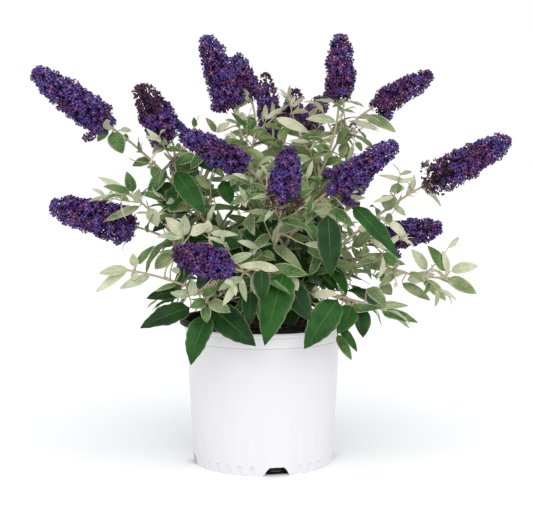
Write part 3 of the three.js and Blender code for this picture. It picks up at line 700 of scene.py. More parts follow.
def hang_large_leaves():
    """Large leaves placed one by one, each carried by a twig from the nearest stem."""
    hanging.extend((*leaf, leaf[0][0] * 10 + 7) for leaf in LARGE_LEAVES)
    for foot, aim, (length, width), seed in hanging:
        root, aim = place(*foot), direction(*aim)
        carry(root, aim)
        outward = unit(np.array([root[0], root[1] - 60, 0.0]))
        front = np.array([0, -0.7, 0]) * (root[1] < -40)
        face = UP * 0.8 + outward * 0.6 + front
        add_leaf("deep", root, aim, face, length, width, int(seed), room=0)


def hang_single_leaves():
    """Leaves placed by where they are seen, each leaning forward from a stem to its tip."""
    found = [leaf for group in SINGLE_LEAVES.values() for leaf in group]
    stems = np.concatenate([route.points(np.linspace(0, 1, 90))
                            for route, *_ in limbs["stem"] + limbs["bough"]])
    face = UP * 0.5 + np.array([0, -1, 0])
    for i, (kind, foot, tip, width, *depth) in enumerate(found):
        root = seen_at(foot, *depth) if depth else on_a_stem(foot, stems)
        pixel = np.linalg.norm(root - VIEWPOINT) / LENS_PIXELS
        forward = LEANS_FORWARD * pixel * math.dist(foot, tip)
        reach = seen_at(tip, root[1] - forward) - root
        carry(root, unit(reach))
        add_leaf(kind, root, unit(reach), face, np.linalg.norm(reach),
                 SINGLE_BREADTH * width * pixel, SINGLE_SEED + 50 * i, room=0)


def on_a_stem(spot, stems):
    """The point in the line of sight that comes nearest to a stem, those in front first."""
    beam = sight(spot)
    abreast = VIEWPOINT + ((stems - VIEWPOINT) @ beam)[:, None] * beam
    gaps = np.linalg.norm(stems - abreast, axis=1) + FRONT_STEMS_FIRST * abreast[:, 1]
    return abreast[gaps.argmin()]


def carry(root, aim):
    """A twig from the nearest stem to the foot of a leaf."""
    joints = []
    for route, start, end, _, _ in limbs["stem"]:
        spread = np.linspace(start, end, 50)
        points, along, _, _ = route.frames(spread)
        gaps = np.linalg.norm(points - root, axis=1)
        nearest = gaps.argmin()
        joints.append((gaps[nearest], points[nearest], along[nearest]))
    gap, point, along = min(joints, key=lambda joint: joint[0])
    if SHORTEST_TWIG < gap < LONGEST_TWIG:
        leaving = unit(unit(root - point) + 0.5 * along)
        twig = Route(point, leaving, root, unit(unit(root - point) + 0.6 * aim))
        limbs["twig"].append((twig, 0, twig.length, *CARRYING_TWIG))


# Meshes made from arrays: one small shape, laid out many times.

def pattern(shape):
    """The corners and triangles of a small shape that is to be repeated."""
    bm = bmesh.new()
    shape(bm)
    bmesh.ops.triangulate(bm, faces=bm.faces)
    bm.verts.index_update()
    corners = np.array([v.co for v in bm.verts])
    faces = np.array([[v.index for v in face.verts] for face in bm.faces])
    bm.free()
    return corners, faces


def joined(name, spots, faces, material, layout=None):
    """One mesh of many copies: spots is copies by corners by 3, in millimetres."""
    copies, corners = spots.shape[:2]
    loops = (faces[None] + (np.arange(copies) * corners)[:, None, None]).reshape(-1)
    mesh = bpy.data.meshes.new(name)
    mesh.vertices.add(copies * corners)
    mesh.vertices.foreach_set("co", (spots.reshape(-1) * MM).astype(np.float32))
    mesh.loops.add(len(loops))
    mesh.loops.foreach_set("vertex_index", loops.astype(np.int32))
    mesh.polygons.add(len(loops) // 3)
    mesh.polygons.foreach_set("loop_start", np.arange(0, len(loops), 3, dtype=np.int32))
    mesh.polygons.foreach_set("use_smooth", np.ones(len(loops) // 3, bool))
    if layout is not None:
        spread = mesh.uv_layers.new(name="blade")
        spread.data.foreach_set("uv", np.tile(layout[faces.reshape(-1)], (copies, 1)).reshape(-1))
    mesh.update(calc_edges=True)
    return piece(name, mesh, material)


def mesh_of(name, bm):
    """A mesh from a bmesh that isn't needed any more."""
    mesh = bpy.data.meshes.new(name)
    bm.to_mesh(mesh)
    bm.free()
    return mesh


def linked(name, data):
    """An object in the scene that shows the data given."""
    made = bpy.data.objects.new(name, data)
    bpy.context.scene.collection.objects.link(made)
    return made


def piece(name, mesh, material):
    """A visible piece, which rides on the part's one body."""
    mesh.materials.append(material)
    made = linked(name, mesh)
    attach(made, "root")
    return made


def smooth_piece(name, bm, material):
    """A piece with smooth shading from a bmesh."""
    mesh = mesh_of(name, bm)
    for face in mesh.polygons:
        face.use_smooth = True
    return piece(name, mesh, material)


def rod(sides, steps):
    """A closed rod from z 0 to 1, with its corners on the unit circle."""
    def shape(bm):
        bmesh.ops.create_cone(bm, cap_ends=True, segments=sides, radius1=1, radius2=1, depth=1)
        bmesh.ops.translate(bm, verts=bm.verts, vec=(0, 0, 0.5))
        for k in range(1, steps):
            geometry = bm.verts[:] + bm.edges[:] + bm.faces[:]
            bmesh.ops.bisect_plane(bm, geom=geometry, plane_co=(0, 0, k / steps),
                                   plane_no=(0, 0, 1))
    return pattern(shape)


def rod_spots(corners, grown, ridges=0.0):
    """The corners of a rod laid along each limb, ridged like bark where asked."""
    part = corners[:, 2]
    turn = np.arctan2(corners[:, 1], corners[:, 0])
    spots = []
    for k, (route, start, end, thick, thin) in enumerate(grown):
        point, _, side, over = route.frames(start + (end - start) * part)
        radius = lerp(thick, thin, part)
        rough = np.sin(5 * turn + 9 * part + k) + 0.7 * np.sin(3 * turn - 23 * part + 2 * k)
        radius = radius * (1 + ridges * rough)
        radius = np.where(np.hypot(corners[:, 0], corners[:, 1]) < 0.5, 0, radius)[:, None]
        spots.append(point + side * radius * np.cos(turn)[:, None]
                     + over * radius * np.sin(turn)[:, None])
    return np.array(spots)


def leaf_sheet(across, along, under=False):
    """A leaf blade as a sheet: x across from -1 to 1, y from foot to tip, z the layer."""
    def shape(bm):
        bmesh.ops.create_grid(bm, x_segments=across, y_segments=along, size=1.0)
        for end in (-1, 1):
            row = [v for v in bm.verts if abs(v.co.y - end) < 1e-5]
            bmesh.ops.pointmerge(bm, verts=row, merge_co=(0, end, 0))
        for v in bm.verts:
            v.co.y = (v.co.y + 1) / 2
            if under:
                v.co.z = 0.0 if abs(v.co.x) > 0.99 else -1.0
                v.co.x *= 1.015
        if under:
            bmesh.ops.reverse_faces(bm, faces=bm.faces)
    return pattern(shape)


def rib_strip(along):
    """A raised midrib on a leaf's upper face."""
    def shape(bm):
        bmesh.ops.create_grid(bm, x_segments=2, y_segments=along, size=1.0)
        for v in bm.verts:
            v.co.y = (v.co.y + 1) / 2 * 0.86 + 0.01
            v.co.z = 0.15 if abs(v.co.x) > 0.5 else 0.75
            v.co.x *= 0.038 * (1.05 - v.co.y)
    return pattern(shape)


BLADE_POWERS = {"deep": (0.6, 0.95), "fresh": (0.62, 0.9), "sage": (0.75, 0.95)}


def outline(v, kind):
    """Half-width of a blade along its length: rounder low down on ripe leaves."""
    a, b = BLADE_POWERS[kind]
    top = a / (a + b)
    body = (v**a * (1 - v) ** b) / (top**a * (1 - top) ** b)
    return body * np.clip(0.08 + v / 0.09, 0, 1)


SMALL_LEAF_VEINS, LARGE_LEAF_VEINS = 4, 9


def leaf_spots(corners, grown, kind, veins):
    """The corners of a sheet bent, folded, twisted and waved to each leaf."""
    def column(key):
        return np.array([leaf[key] for leaf in grown])[:, None]

    u, v, layer = corners.T
    root, aim, face = (np.array([leaf[key] for leaf in grown]) for key in ("root", "aim", "face"))
    side = unit(np.cross(aim, face))
    over = np.cross(side, aim)
    length, width, bend = column("length"), column("width"), column("bend")
    half = 0.5 * width * outline(v, kind)
    if veins > SMALL_LEAF_VEINS:
        # The margin of a large leaf is faintly toothed.
        half = half * (1 + 0.035 * np.sin(2 * np.pi * (6.5 * v + column("wave"))))
    slope = bend * (0.5 - v)
    ahead = length * (np.sin(bend / 2) - np.sin(slope)) / bend
    rise = length * (np.cos(slope) - np.cos(bend / 2)) / bend
    twist = column("twist") * v
    wide = np.abs(u)
    lift = half * (column("fold") * wide - 0.25 * wide**2)
    phase = v * 2.6 + column("wave") + 0.25 * np.sign(u)
    lift = lift + 0.09 * half * wide**2 * np.sin(2 * np.pi * phase)
    zigzag = np.abs((v * veins - 0.9 * wide) % 1.0 - 0.5) - 0.25
    lift = lift + 0.12 * half * zigzag * np.sqrt(np.clip(wide * (1 - wide), 0, 1))
    lift = lift + layer * (0.35 + 0.003 * length)
    normal = over[:, None] * np.cos(slope)[..., None] - aim[:, None] * np.sin(slope)[..., None]
    across = side[:, None] * np.cos(twist)[..., None] + normal * np.sin(twist)[..., None]
    upward = normal * np.cos(twist)[..., None] - side[:, None] * np.sin(twist)[..., None]
    return (root[:, None] + aim[:, None] * ahead[..., None] + over[:, None] * rise[..., None]
            + across * (u * half)[..., None] + upward * lift[..., None])


# Materials.

def ink(code):
    """A colour from its hexadecimal code, in linear light."""
    parts = [int(code[i:i + 2], 16) / 255 for i in (0, 2, 4)]
    return [p / 12.92 if p <= 0.04045 else ((p + 0.055) / 1.055) ** 2.4 for p in parts] + [1.0]


def shader_group(name, numbers, results):
    """A new node group that takes a vector and numbers, with its input and output nodes."""
    group = bpy.data.node_groups.new(name, "ShaderNodeTree")
    make = group.interface.new_socket
    make("Vector", in_out="INPUT", socket_type="NodeSocketVector")
    for key, value in numbers.items():
        make(key, in_out="INPUT", socket_type="NodeSocketFloat").default_value = value
    for key in results:
        make(key, in_out="OUTPUT", socket_type="NodeSocketFloat")
    return group, group.nodes.new("NodeGroupInput"), group.nodes.new("NodeGroupOutput")


def ranged(group, value, low, high):
    """A node that turns the range from low to high into 0 to 1."""
    node = group.nodes.new("ShaderNodeMapRange")
    node.inputs["From Min"].default_value = low
    node.inputs["From Max"].default_value = high
    group.links.new(value, node.inputs["Value"])
    return node


def grain_group():
    """Fine grain for any surface: a height, a mask, and a roughness between two limits."""
    group, given, result = shader_group(
        "fine_grain", {"Scale": 400.0, "Detail": 4.0, "Smoothest": 0.4, "Roughest": 0.6},
        ("Height", "Mask", "Roughness"))
    link = group.links.new
    noise = group.nodes.new("ShaderNodeTexNoise")
    for key in ("Vector", "Scale", "Detail"):
        link(given.outputs[key], noise.inputs[key])
    rough = ranged(group, noise.outputs["Fac"], 0.3, 0.7)
    link(given.outputs["Smoothest"], rough.inputs["To Min"])
    link(given.outputs["Roughest"], rough.inputs["To Max"])
    mask = ranged(group, noise.outputs["Fac"], 0.4, 0.6)
    link(noise.outputs["Fac"], result.inputs["Height"])
    link(mask.outputs["Result"], result.inputs["Mask"])
    link(rough.outputs["Result"], result.inputs["Roughness"])
    return group


def vein_group():
    """Veins on a leaf's own layout: side veins that rise from the midrib, and the margin."""
    group, given, result = shader_group("leaf_veins", {"Pairs": 9.0}, ("Veins", "Margin"))
    nodes, link = group.nodes, group.links.new

    def worked_out(operation, *values):
        node = nodes.new("ShaderNodeMath")
        node.operation = operation
        for socket, value in zip(node.inputs, values):
            if isinstance(value, float):
                socket.default_value = value
            else:
                link(value, socket)
        return node.outputs[0]

    parts = nodes.new("ShaderNodeSeparateXYZ")
    link(given.outputs["Vector"], parts.inputs[0])
    across = worked_out("ABSOLUTE", worked_out("MULTIPLY_ADD", parts.outputs["X"], 2.0, -1.0))
    climb = worked_out("MULTIPLY", parts.outputs["Y"], given.outputs["Pairs"])
    slant = worked_out("MULTIPLY", across, 1.5)
    swing = worked_out("PINGPONG", worked_out("SUBTRACT", climb, slant), 0.5)
    line = ranged(group, swing, 0.12, 0.0)
    line.interpolation_type = "SMOOTHSTEP"
    middle = ranged(group, across, 0.1, 0.03)
    link(worked_out("MAXIMUM", line.outputs["Result"], middle.outputs["Result"]),
         result.inputs["Veins"])
    link(ranged(group, across, 0.8, 0.98).outputs["Result"], result.inputs["Margin"])
    return group


# The colour of a felted margin, and the scales of grain per metre and depths of bumps in metres.
EDGE_FELT = "dedcc2"
NAP_SCALE, PATCH_SCALE = 1800, 42
GRAIN_DEPTH, VEIN_DEPTH = 0.001, 0.0006
GRAIN = grain_group()
VEINS = vein_group()


def inside(material):
    """What a material's nodes are changed with: its nodes, its links and its shader."""
    tree = material.node_tree
    return tree.nodes, tree.links.new, tree.nodes["Principled BSDF"]


def finish(name, colour, smoothest, roughest, scale, bump, second=None, sheen=0.0, gloss=0.5,
           squash=(1, 1, 1)):
    """A material with its own grain; second is the colour that the grain's mask mixes in."""
    made = bpy.data.materials.new(name)
    made.use_nodes = True
    nodes, link, shader = inside(made)
    shader.inputs["Base Color"].default_value = ink(colour)
    shader.inputs["Sheen Weight"].default_value = sheen
    shader.inputs["Specular IOR Level"].default_value = gloss
    where = nodes.new("ShaderNodeTexCoord")
    mapping = nodes.new("ShaderNodeMapping")
    mapping.inputs["Scale"].default_value = squash
    link(where.outputs["Object"], mapping.inputs["Vector"])
    grain = nodes.new("ShaderNodeGroup")
    grain.node_tree = GRAIN
    link(mapping.outputs["Vector"], grain.inputs["Vector"])
    for key, value in (("Scale", scale), ("Smoothest", smoothest), ("Roughest", roughest)):
        grain.inputs[key].default_value = value
    link(grain.outputs["Roughness"], shader.inputs["Roughness"])
    bumps = nodes.new("ShaderNodeBump")
    bumps.name = "grain_bump"
    bumps.inputs["Strength"].default_value = bump
    bumps.inputs["Distance"].default_value = GRAIN_DEPTH
    link(grain.outputs["Height"], bumps.inputs["Height"])
    link(bumps.outputs["Normal"], shader.inputs["Normal"])
    if second:
        mixed = blended(made, grain.outputs["Mask"], colour, second)
        link(mixed, shader.inputs["Base Color"])
    return made


def blended(material, part, first, second):
    """A mix of two colours, or of a colour and another mix, by a mask."""
    nodes, link, _ = inside(material)
    mix = nodes.new("ShaderNodeMix")
    mix.data_type = "RGBA"
    link(part, mix.inputs[0])
    for socket, value in ((mix.inputs[6], first), (mix.inputs[7], second)):
        if isinstance(value, str):
            socket.default_value = ink(value)
        else:
            link(value, socket)
    return mix.outputs[2]


def faded(material, value, strength):
    """A mask made weaker."""
    nodes, link, _ = inside(material)
    node = nodes.new("ShaderNodeMath")
    node.operation = "MULTIPLY"
    node.inputs[1].default_value = strength
    link(value, node.inputs[0])
    return node.outputs[0]


def blade(name, colour, second, vein, smoothest, roughest, pairs, sheen=0.0, depth=0.6,
          edge=0.3):
    """A leaf's finish: two colours in soft patches, paler veins and margin, a fine nap."""
    made = finish(name, colour, smoothest, roughest, NAP_SCALE, 0.25, sheen=sheen, gloss=0.2)
    nodes, link, shader = inside(made)
    layout = nodes.new("ShaderNodeUVMap")
    layout.uv_map = "blade"
    veins = nodes.new("ShaderNodeGroup")
    veins.node_tree = VEINS
    veins.inputs["Pairs"].default_value = pairs
    link(layout.outputs["UV"], veins.inputs["Vector"])
    where = nodes.new("ShaderNodeTexCoord")
    patches = nodes.new("ShaderNodeGroup")
    patches.node_tree = GRAIN
    patches.inputs["Scale"].default_value = PATCH_SCALE
    patches.inputs["Detail"].default_value = 3
    link(where.outputs["Object"], patches.inputs["Vector"])
    body = blended(made, patches.outputs["Mask"], colour, second)
    veined = blended(made, faded(made, veins.outputs["Veins"], depth), body, vein)
    edged = blended(made, faded(made, veins.outputs["Margin"], edge), veined, EDGE_FELT)
    link(edged, shader.inputs["Base Color"])
    sunk = nodes.new("ShaderNodeBump")
    sunk.invert = True
    sunk.inputs["Strength"].default_value = 0.5
    sunk.inputs["Distance"].default_value = VEIN_DEPTH
    link(veins.outputs["Veins"], sunk.inputs["Height"])
    link(sunk.outputs["Normal"], nodes["grain_bump"].inputs["Normal"])
    return made


LEAF_GREEN = blade("leaf_green", "1a4515", "25571a", "44702f", 0.38, 0.56, 9, depth=0.25,
                   edge=0.07)
LEAF_DARK = blade("leaf_dark", "113110", "184213", "325a22", 0.36, 0.54, 9, depth=0.25,
                  edge=0.05)
LEAF_FRESH = blade("leaf_fresh", "37612d", "628248", "a8b688", 0.55, 0.75, 7, depth=0.5,
                   edge=0.6)
LEAF_FRESH_PALE = blade("leaf_fresh_pale", "607a47", "959e72", "c9c9a6", 0.6, 0.8, 7, depth=0.5,
                        edge=0.6)
LEAF_SAGE = blade("leaf_sage", "93a67c", "bcc29f", "e4e4cc", 0.75, 0.92, 6, sheen=0.2, edge=0.7)
LEAF_SAGE_PALE = blade("leaf_sage_pale", "b9be9b", "d8d8b8", "ece9d2", 0.8, 0.94, 6, sheen=0.2,
                        edge=0.7)
FELT = blade("felt_underside", "86a35e", "a6b97b", "ccd6a6", 0.88, 0.98, 9, sheen=0.2)
FELT_YOUNG = blade("felt_young", "c9cda4", "dfdfc0", "f0eeda", 0.88, 0.98, 6, sheen=0.2)
RIB = finish("leaf_rib", "48703a", 0.6, 0.8, 1500, 0.2, gloss=0.3)
STEM_FELT = finish("stem_felt", "cdbda2", 0.8, 0.95, 1800, 0.4, second="b09f82")
BARK = finish("bark", "8b7a62", 0.8, 0.95, 420, 0.9, second="5d4d3c", squash=(1, 1, 0.25))
PETAL_BLUE = finish("petal_blue", "382a78", 0.5, 0.7, 1500, 0.2, second="4f3f98")
PETAL_VIOLET = finish("petal_violet", "43236a", 0.5, 0.7, 1500, 0.2, second="5f3891")
PETAL_PLUM = finish("petal_plum", "471a50", 0.5, 0.7, 1500, 0.2, second="5f2869")
EYE = finish("flower_eye", "e07436", 0.6, 0.8, 2500, 0.2)
# The tubes are real, but their near-black colour is painted shade in the gaps between the florets.
TUBE_IN_SHADE = finish("flower_tube", "260d2e", 0.6, 0.8, 1800, 0.2)
BUD = finish("flower_bud", "5c2554", 0.65, 0.85, 1800, 0.3, second="382030")
SPENT = finish("flower_spent", "5e3526", 0.8, 0.95, 260, 0.5, second="4b1a44")
# Near-black painted shade for the rods inside the flower spikes.
SHADE = finish("flower_core_painted_shade", "150812", 0.85, 0.95, 900, 0.5)
SOIL = finish("bark_mix", "3a281c", 0.88, 0.98, 260, 1.0, second="1f1510")
CHIP_DARK = finish("chip_dark", "4a3323", 0.8, 0.95, 700, 0.6)
CHIP_PALE = finish("chip_pale", "8a6b4b", 0.8, 0.95, 700, 0.6)
POT_WHITE = finish("pot_white", "e6e4e8", 0.3, 0.42, 160, 0.05)
POT_BLACK = finish("pot_black", "060508", 0.45, 0.6, 220, 0.1, gloss=0.12)


# Leaves and limbs.

LARGE_LEAF = 84
SECOND_TINT_SHARE = 0.45


def blade_layout(corners):
    """Where each corner of a sheet is on the blade, across and from foot to tip."""
    return np.clip(np.stack([(corners[:, 0] + 1) / 2, corners[:, 1]], axis=1), 0, 1)


def part_leaves():
    """The leaves by kind, each kind's upper faces, undersides and ribs as joined meshes."""
    upper, under = leaf_sheet(4, 8), leaf_sheet(4, 8, under=True)
    large_upper, large_under = leaf_sheet(8, 26), leaf_sheet(8, 26, under=True)
    rib, large_rib = rib_strip(7), rib_strip(20)
    tints = {
        "deep": (LEAF_GREEN, LEAF_DARK), "fresh": (LEAF_FRESH, LEAF_FRESH_PALE),
        "sage": (LEAF_SAGE, LEAF_SAGE_PALE),
    }
    backs, ribs = {"felt": [], "young": []}, []
    for kind, pair in tints.items():
        for shade, tint in enumerate(pair):
            picked = [leaf for i, leaf in enumerate(leaves[kind])
                      if (chance(i, 77) < SECOND_TINT_SHARE) == bool(shade)]
            large = [leaf for leaf in picked if leaf["length"] >= LARGE_LEAF and kind == "deep"]
            small = [leaf for leaf in picked if leaf["length"] < LARGE_LEAF or kind != "deep"]
            for size, group, sheet, back, strip, veins in (
                ("", small, upper, under, rib, SMALL_LEAF_VEINS),
                ("large_", large, large_upper, large_under, large_rib, LARGE_LEAF_VEINS),
            ):
                if not group:
                    continue
                joined("%sleaves_%s_%d" % (size, kind, shade + 1),
                       leaf_spots(sheet[0], group, kind, veins), sheet[1], tint,
                       blade_layout(sheet[0]))
                key = "young" if kind == "sage" else "felt"
                backs[key].append((leaf_spots(back[0], group, kind, veins), back[1],
                                   blade_layout(back[0])))
                if kind != "sage":
                    ribs.append((leaf_spots(strip[0], group, kind, veins), strip[1]))
    for key, felt in (("felt", FELT), ("young", FELT_YOUNG)):
        for i, (spots, faces, layout) in enumerate(backs[key]):
            joined("undersides_%s_%d" % (key, i + 1), spots, faces, felt, layout)
    for i, (spots, faces) in enumerate(ribs):
        joined("ribs_%d" % (i + 1), spots, faces, RIB)


def part_limbs(mass_nodes):
    """Boughs with bark relief, and felted stems and twigs."""
    corners, faces = rod(10, 14)
    boughs = joined("boughs", rod_spots(corners, limbs["bough"], 0.05), faces, BARK)
    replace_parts(boughs, *["bough_" + name for name in BOUGHS])
    corners, faces = rod(8, 14)
    stems = joined("leafy_stems", rod_spots(corners, limbs["stem"]), faces, STEM_FELT)
    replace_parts(stems, *mass_nodes)
    corners, faces = rod(5, 5)
    joined("side_twigs", rod_spots(corners, limbs["twig"]), faces, STEM_FELT)


# Flower spikes: domes of florets in rings round each spike's axis.

def petals(bm):
    """Four rounded lobes round an open throat, facing up."""
    for k in range(4):
        turn = Matrix.Rotation(math.radians(90 * k), 4, "Z")
        lay = turn @ Matrix.Translation((0.62, 0, 0)) @ Matrix.Diagonal((0.42, 0.37, 1, 1))
        bmesh.ops.create_circle(bm, cap_ends=True, segments=6, radius=1, matrix=lay)
    for v in bm.verts:
        v.co.z = 0.16 * v.co.xy.length


def wilted(bm):
    """A spent floret: its lobes shrunk and folded forward."""
    petals(bm)
    for v in bm.verts:
        out = v.co.xy.length
        v.co.z = 0.75 * out
        v.co.xy *= 1 - 0.45 * out


def throat(bm):
    """The orange eye in an open floret."""
    bmesh.ops.create_circle(bm, cap_ends=True, segments=5, radius=0.24)
    for v in bm.verts:
        v.co.z = 0.08


def tube(bm):
    """The narrow tube behind a floret."""
    bmesh.ops.create_cone(bm, cap_ends=False, segments=4, radius1=0.14, radius2=0.26, depth=1.5)
    bmesh.ops.translate(bm, verts=bm.verts, vec=(0, 0, -0.72))


def bud(bm):
    """A closed bud, longer than wide."""
    bmesh.ops.create_uvsphere(bm, u_segments=5, v_segments=3, radius=1)
    for v in bm.verts:
        v.co.x *= 0.45
        v.co.y *= 0.45


def laid(corners, blooms):
    """Corners laid out at each bloom: its place, the way it faces, its roll and size."""
    where = np.array([bloom[0] for bloom in blooms])
    face = unit(np.array([bloom[1] for bloom in blooms]))
    roll = np.array([bloom[2] for bloom in blooms])[:, None]
    size = np.array([bloom[3] for bloom in blooms])[:, None, None]
    aside = unit(np.cross(face, [0.31, 0.17, 0.93]))
    third = np.cross(face, aside)
    x = aside * np.cos(roll) + third * np.sin(roll)
    y = np.cross(face, x)
    spots = (corners[None, :, :1] * x[:, None] + corners[None, :, 1:2] * y[:, None]
             + corners[None, :, 2:] * face[:, None])
    return where[:, None] + spots * size


# The angle that spreads points evenly on a globe, and the most by which a floret is rolled at
# random, nearly a full turn, both in radians.
GOLDEN_ANGLE = 2.39996
ROLLS = 6.28


def dome_faces(count):
    """Directions spread evenly over a little more than a half globe round +Z."""
    step = np.arange(count) + 0.5
    high = 1 - step / count * 1.08
    turn = step * GOLDEN_ANGLE
    wide = np.sqrt(1 - high**2)
    return np.stack([wide * np.cos(turn), wide * np.sin(turn), high], axis=1)


SPIKE_SEED = 1000
RING_PITCH = 11.5
FOOT_LOBES = 4
LOBE_TURN = 1.571
OPEN_SIZES, SPENT_SIZES = (5.2, 6.5), (4.6, 6.4)
BUD_SIZES, SIDE_BUD_SIZES, STRAY_BUD_SIZES = (2.6, 3.8), (2.0, 3.4), (1.8, 2.6)


def grow_spike(name, seed, blooms):
    """Rings of small domes of florets up a spike, lobes at its foot and a tuft on its tip."""
    neck, aim, (length, width), (spent, buds), red = SPIKES[name]
    rng = np.random.default_rng(SPIKE_SEED + seed)
    foot, along = place(*neck), direction(*aim)
    side, over = sides_of(along)
    rings = round(0.95 * length / RING_PITCH)
    for j in range(rings):
        part = 0.05 + 0.93 * (j + 0.5) / rings
        reach = width / 2 * fullness(part)
        dome = lerp(9.0, 5.5, part) * min(1, 0.4 + reach / 20)
        ring = max(reach - 1.05 * dome, 0)
        count = max(1, round(2 * math.pi * max(ring, 2.5) / (1.85 * dome)))
        redness = red * lerp(1.3, 0.7, part) if red > 0 else -red * lerp(0.2, 1.7, part)
        for i in range(count):
            turn = 2 * math.pi * (i + 0.5 * (j % 2)) / count + rng.normal(0, 0.12)
            outward = side * math.cos(turn) + over * math.sin(turn)
            centre = foot + along * (part * length + rng.normal(0, 1.4))
            centre = centre + outward * ring * rng.uniform(0.84, 1.1)
            facing = unit(outward + along * lerp(0.0, 1.1, part**1.5))
            traits = (part, spent, buds, rng.random() < redness, red)
            grow_dome(rng, centre, facing, outward, dome, traits, blooms)
    for k in range(FOOT_LOBES):
        # The side branches at the foot of a spike stand out from it as small lobes.
        turn = LOBE_TURN * k + rng.uniform(0, 1.2)
        part = rng.uniform(0.05, 0.16)
        outward = side * math.cos(turn) + over * math.sin(turn)
        ring = width / 2 * fullness(part)
        for m in range(3 if rng.random() < 0.5 else 2):
            grown = ring + 5.5 * m + rng.uniform(-2, 1)
            centre = foot + along * (part * length + 4 * m - 3) + outward * grown
            traits = (part + 0.02, spent, buds, rng.random() < abs(red), red)
            grow_dome(rng, centre - UP * 2 * m, unit(outward + along * 0.2), outward,
                      7.0 - 1.3 * m, traits, blooms)
    for _ in range(2):
        traits = (0.96, spent, buds, False, red)
        grow_dome(rng, foot + along * (length - 7), along, along, 6.0, traits, blooms)


def grow_dome(rng, centre, facing, outward, dome, traits, blooms):
    """Florets over a small dome: buds near the spike's tip, spent ones near its foot."""
    part, spent, buds, plum, red = traits
    aside = unit(np.cross(facing, [0.2, 0.9, 0.4]))
    third = np.cross(facing, aside)
    twist = rng.uniform(0, ROLLS)
    size = dome * rng.uniform(0.85, 1.15)
    for x, y, z in dome_faces(6 if dome > 7 else 5):
        a = x * math.cos(twist) - y * math.sin(twist)
        b = x * math.sin(twist) + y * math.cos(twist)
        heading = unit(aside * a + third * b + facing * z + rng.normal(0, 0.14, 3))
        if heading @ outward < -0.35:
            continue
        at = centre + heading * size
        roll = rng.uniform(0, ROLLS)
        if part > 1 - buds + rng.normal(0, 0.06) or part > 0.97:
            blooms["bud"].append((at, heading, roll, rng.uniform(*BUD_SIZES)))
            for _ in range(2):
                beside = centre + unit(heading + rng.normal(0, 0.45, 3)) * size
                blooms["bud"].append((beside, heading, roll, rng.uniform(*SIDE_BUD_SIZES)))
        elif part < spent + rng.normal(0, 0.05) and rng.random() < 1.15 - 0.6 * red:
            drooping = unit(heading - UP * 0.5)
            blooms["spent"].append((at, drooping, roll, rng.uniform(*SPENT_SIZES)))
        else:
            face = rng.uniform(*OPEN_SIZES)
            if plum and rng.random() < 0.8:
                tint = "plum"
            else:
                tint = "violet" if rng.random() < 0.25 + 0.5 * abs(red) else "blue"
            blooms[tint].append((at, heading, roll, face))
            if rng.random() < 0.12:
                stray = centre + unit(heading + rng.normal(0, 0.5, 3)) * size
                blooms["bud"].append((stray, heading, roll, rng.uniform(*STRAY_BUD_SIZES)))


# The petals' materials, and the share of florets of each tint that show their eye.
TINTS = {"blue": (PETAL_BLUE, 0.62), "violet": (PETAL_VIOLET, 0.5), "plum": (PETAL_PLUM, 0.3)}


def part_flowers():
    """All flower spikes and spent heads, joined by the kind of floret."""
    blooms = {"blue": [], "violet": [], "plum": [], "bud": [], "spent": []}
    for seed, name in enumerate(SPIKES):
        grow_spike(name, seed, blooms)
    for centre, radius in SPENT_HEADS:
        rng = np.random.default_rng(int(radius * 10))
        for heading in dome_faces(26):
            heading = unit(np.array(heading) + rng.normal(0, 0.2, 3))
            at = np.array(centre) + heading * radius * rng.uniform(0.6, 1.0)
            blooms["spent"].append((at, heading, rng.uniform(0, ROLLS), 2.6))
    opened = [bloom for tint in TINTS for bloom in blooms[tint]]
    eyed = [bloom for tint, (_, share) in TINTS.items()
            for i, bloom in enumerate(blooms[tint]) if chance(i, 91) < share]
    made = [florets("petals_" + tint, petals, paint, blooms[tint])
            for tint, (paint, _) in TINTS.items()]
    florets("flower_eyes", throat, EYE, eyed)
    florets("flower_tubes", tube, TUBE_IN_SHADE, opened)
    florets("flower_buds", bud, BUD, blooms["bud"])
    florets("spent_flowers", wilted, SPENT, blooms["spent"])
    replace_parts(made[0], *["flowers_" + name for name in SPIKES])
    spike_shade_cores()


def florets(name, shape, material, found):
    """One joined piece of the same small shape at every bloom."""
    corners, faces = pattern(shape)
    return joined(name, laid(corners, found), faces, material)


def spike_shade_cores():
    """A dark rod in the crowded middle of each spike, seen only between its florets: painted
    shade.
    """
    corners, faces = rod(8, 9)
    spots = []
    for neck, aim, (length, width), _, _ in SPIKES.values():
        along = direction(*aim)
        side, over = sides_of(along)
        part = corners[:, 2:]
        reach = np.maximum(width / 2 * fullness(part) - 12, 1.2) * 0.9
        reach = np.where(part < 0.06, 1.4, reach)
        spots.append(place(*neck) + along * part * length * 0.96
                     + (side * corners[:, :1] + over * corners[:, 1:2]) * reach)
    joined("spike_shade_cores", np.array(spots), faces, SHADE)


# Pot and soil.

def turned(profile, steps):
    """A closed solid turned about Z from a profile that starts and ends on the axis."""
    bm = bmesh.new()
    spine = [bm.verts.new((radius, 0, height)) for radius, height in profile]
    rim = [bm.edges.new(pair) for pair in zip(spine, spine[1:])]
    bmesh.ops.spin(bm, geom=spine + rim, axis=(0, 0, 1), cent=(0, 0, 0), steps=steps,
                   angle=2 * math.pi, use_merge=True)
    bmesh.ops.remove_doubles(bm, verts=bm.verts, dist=1e-4)
    bmesh.ops.recalc_face_normals(bm, faces=bm.faces)
    return bm


def upright(bm, prism, bearing, inner, outer):
    """Adds a prism of an outline that stands on the pot's side at a bearing."""
    b = math.radians(bearing)
    out = Vector((math.cos(b), math.sin(b), 0))
    across = Vector((-math.sin(b), math.cos(b), 0))
    corners = [bm.verts.new(across * x + out * inner + Vector((0, 0, y))) for x, y in prism]
    pushed = bmesh.ops.extrude_face_region(bm, geom=[bm.faces.new(corners)])
    bmesh.ops.translate(bm, verts=corners_in(pushed), vec=out * (outer - inner))


def corners_in(result):
    """The vertices among what a bmesh operator has made."""
    return [found for found in result["geom"] if isinstance(found, bmesh.types.BMVert)]


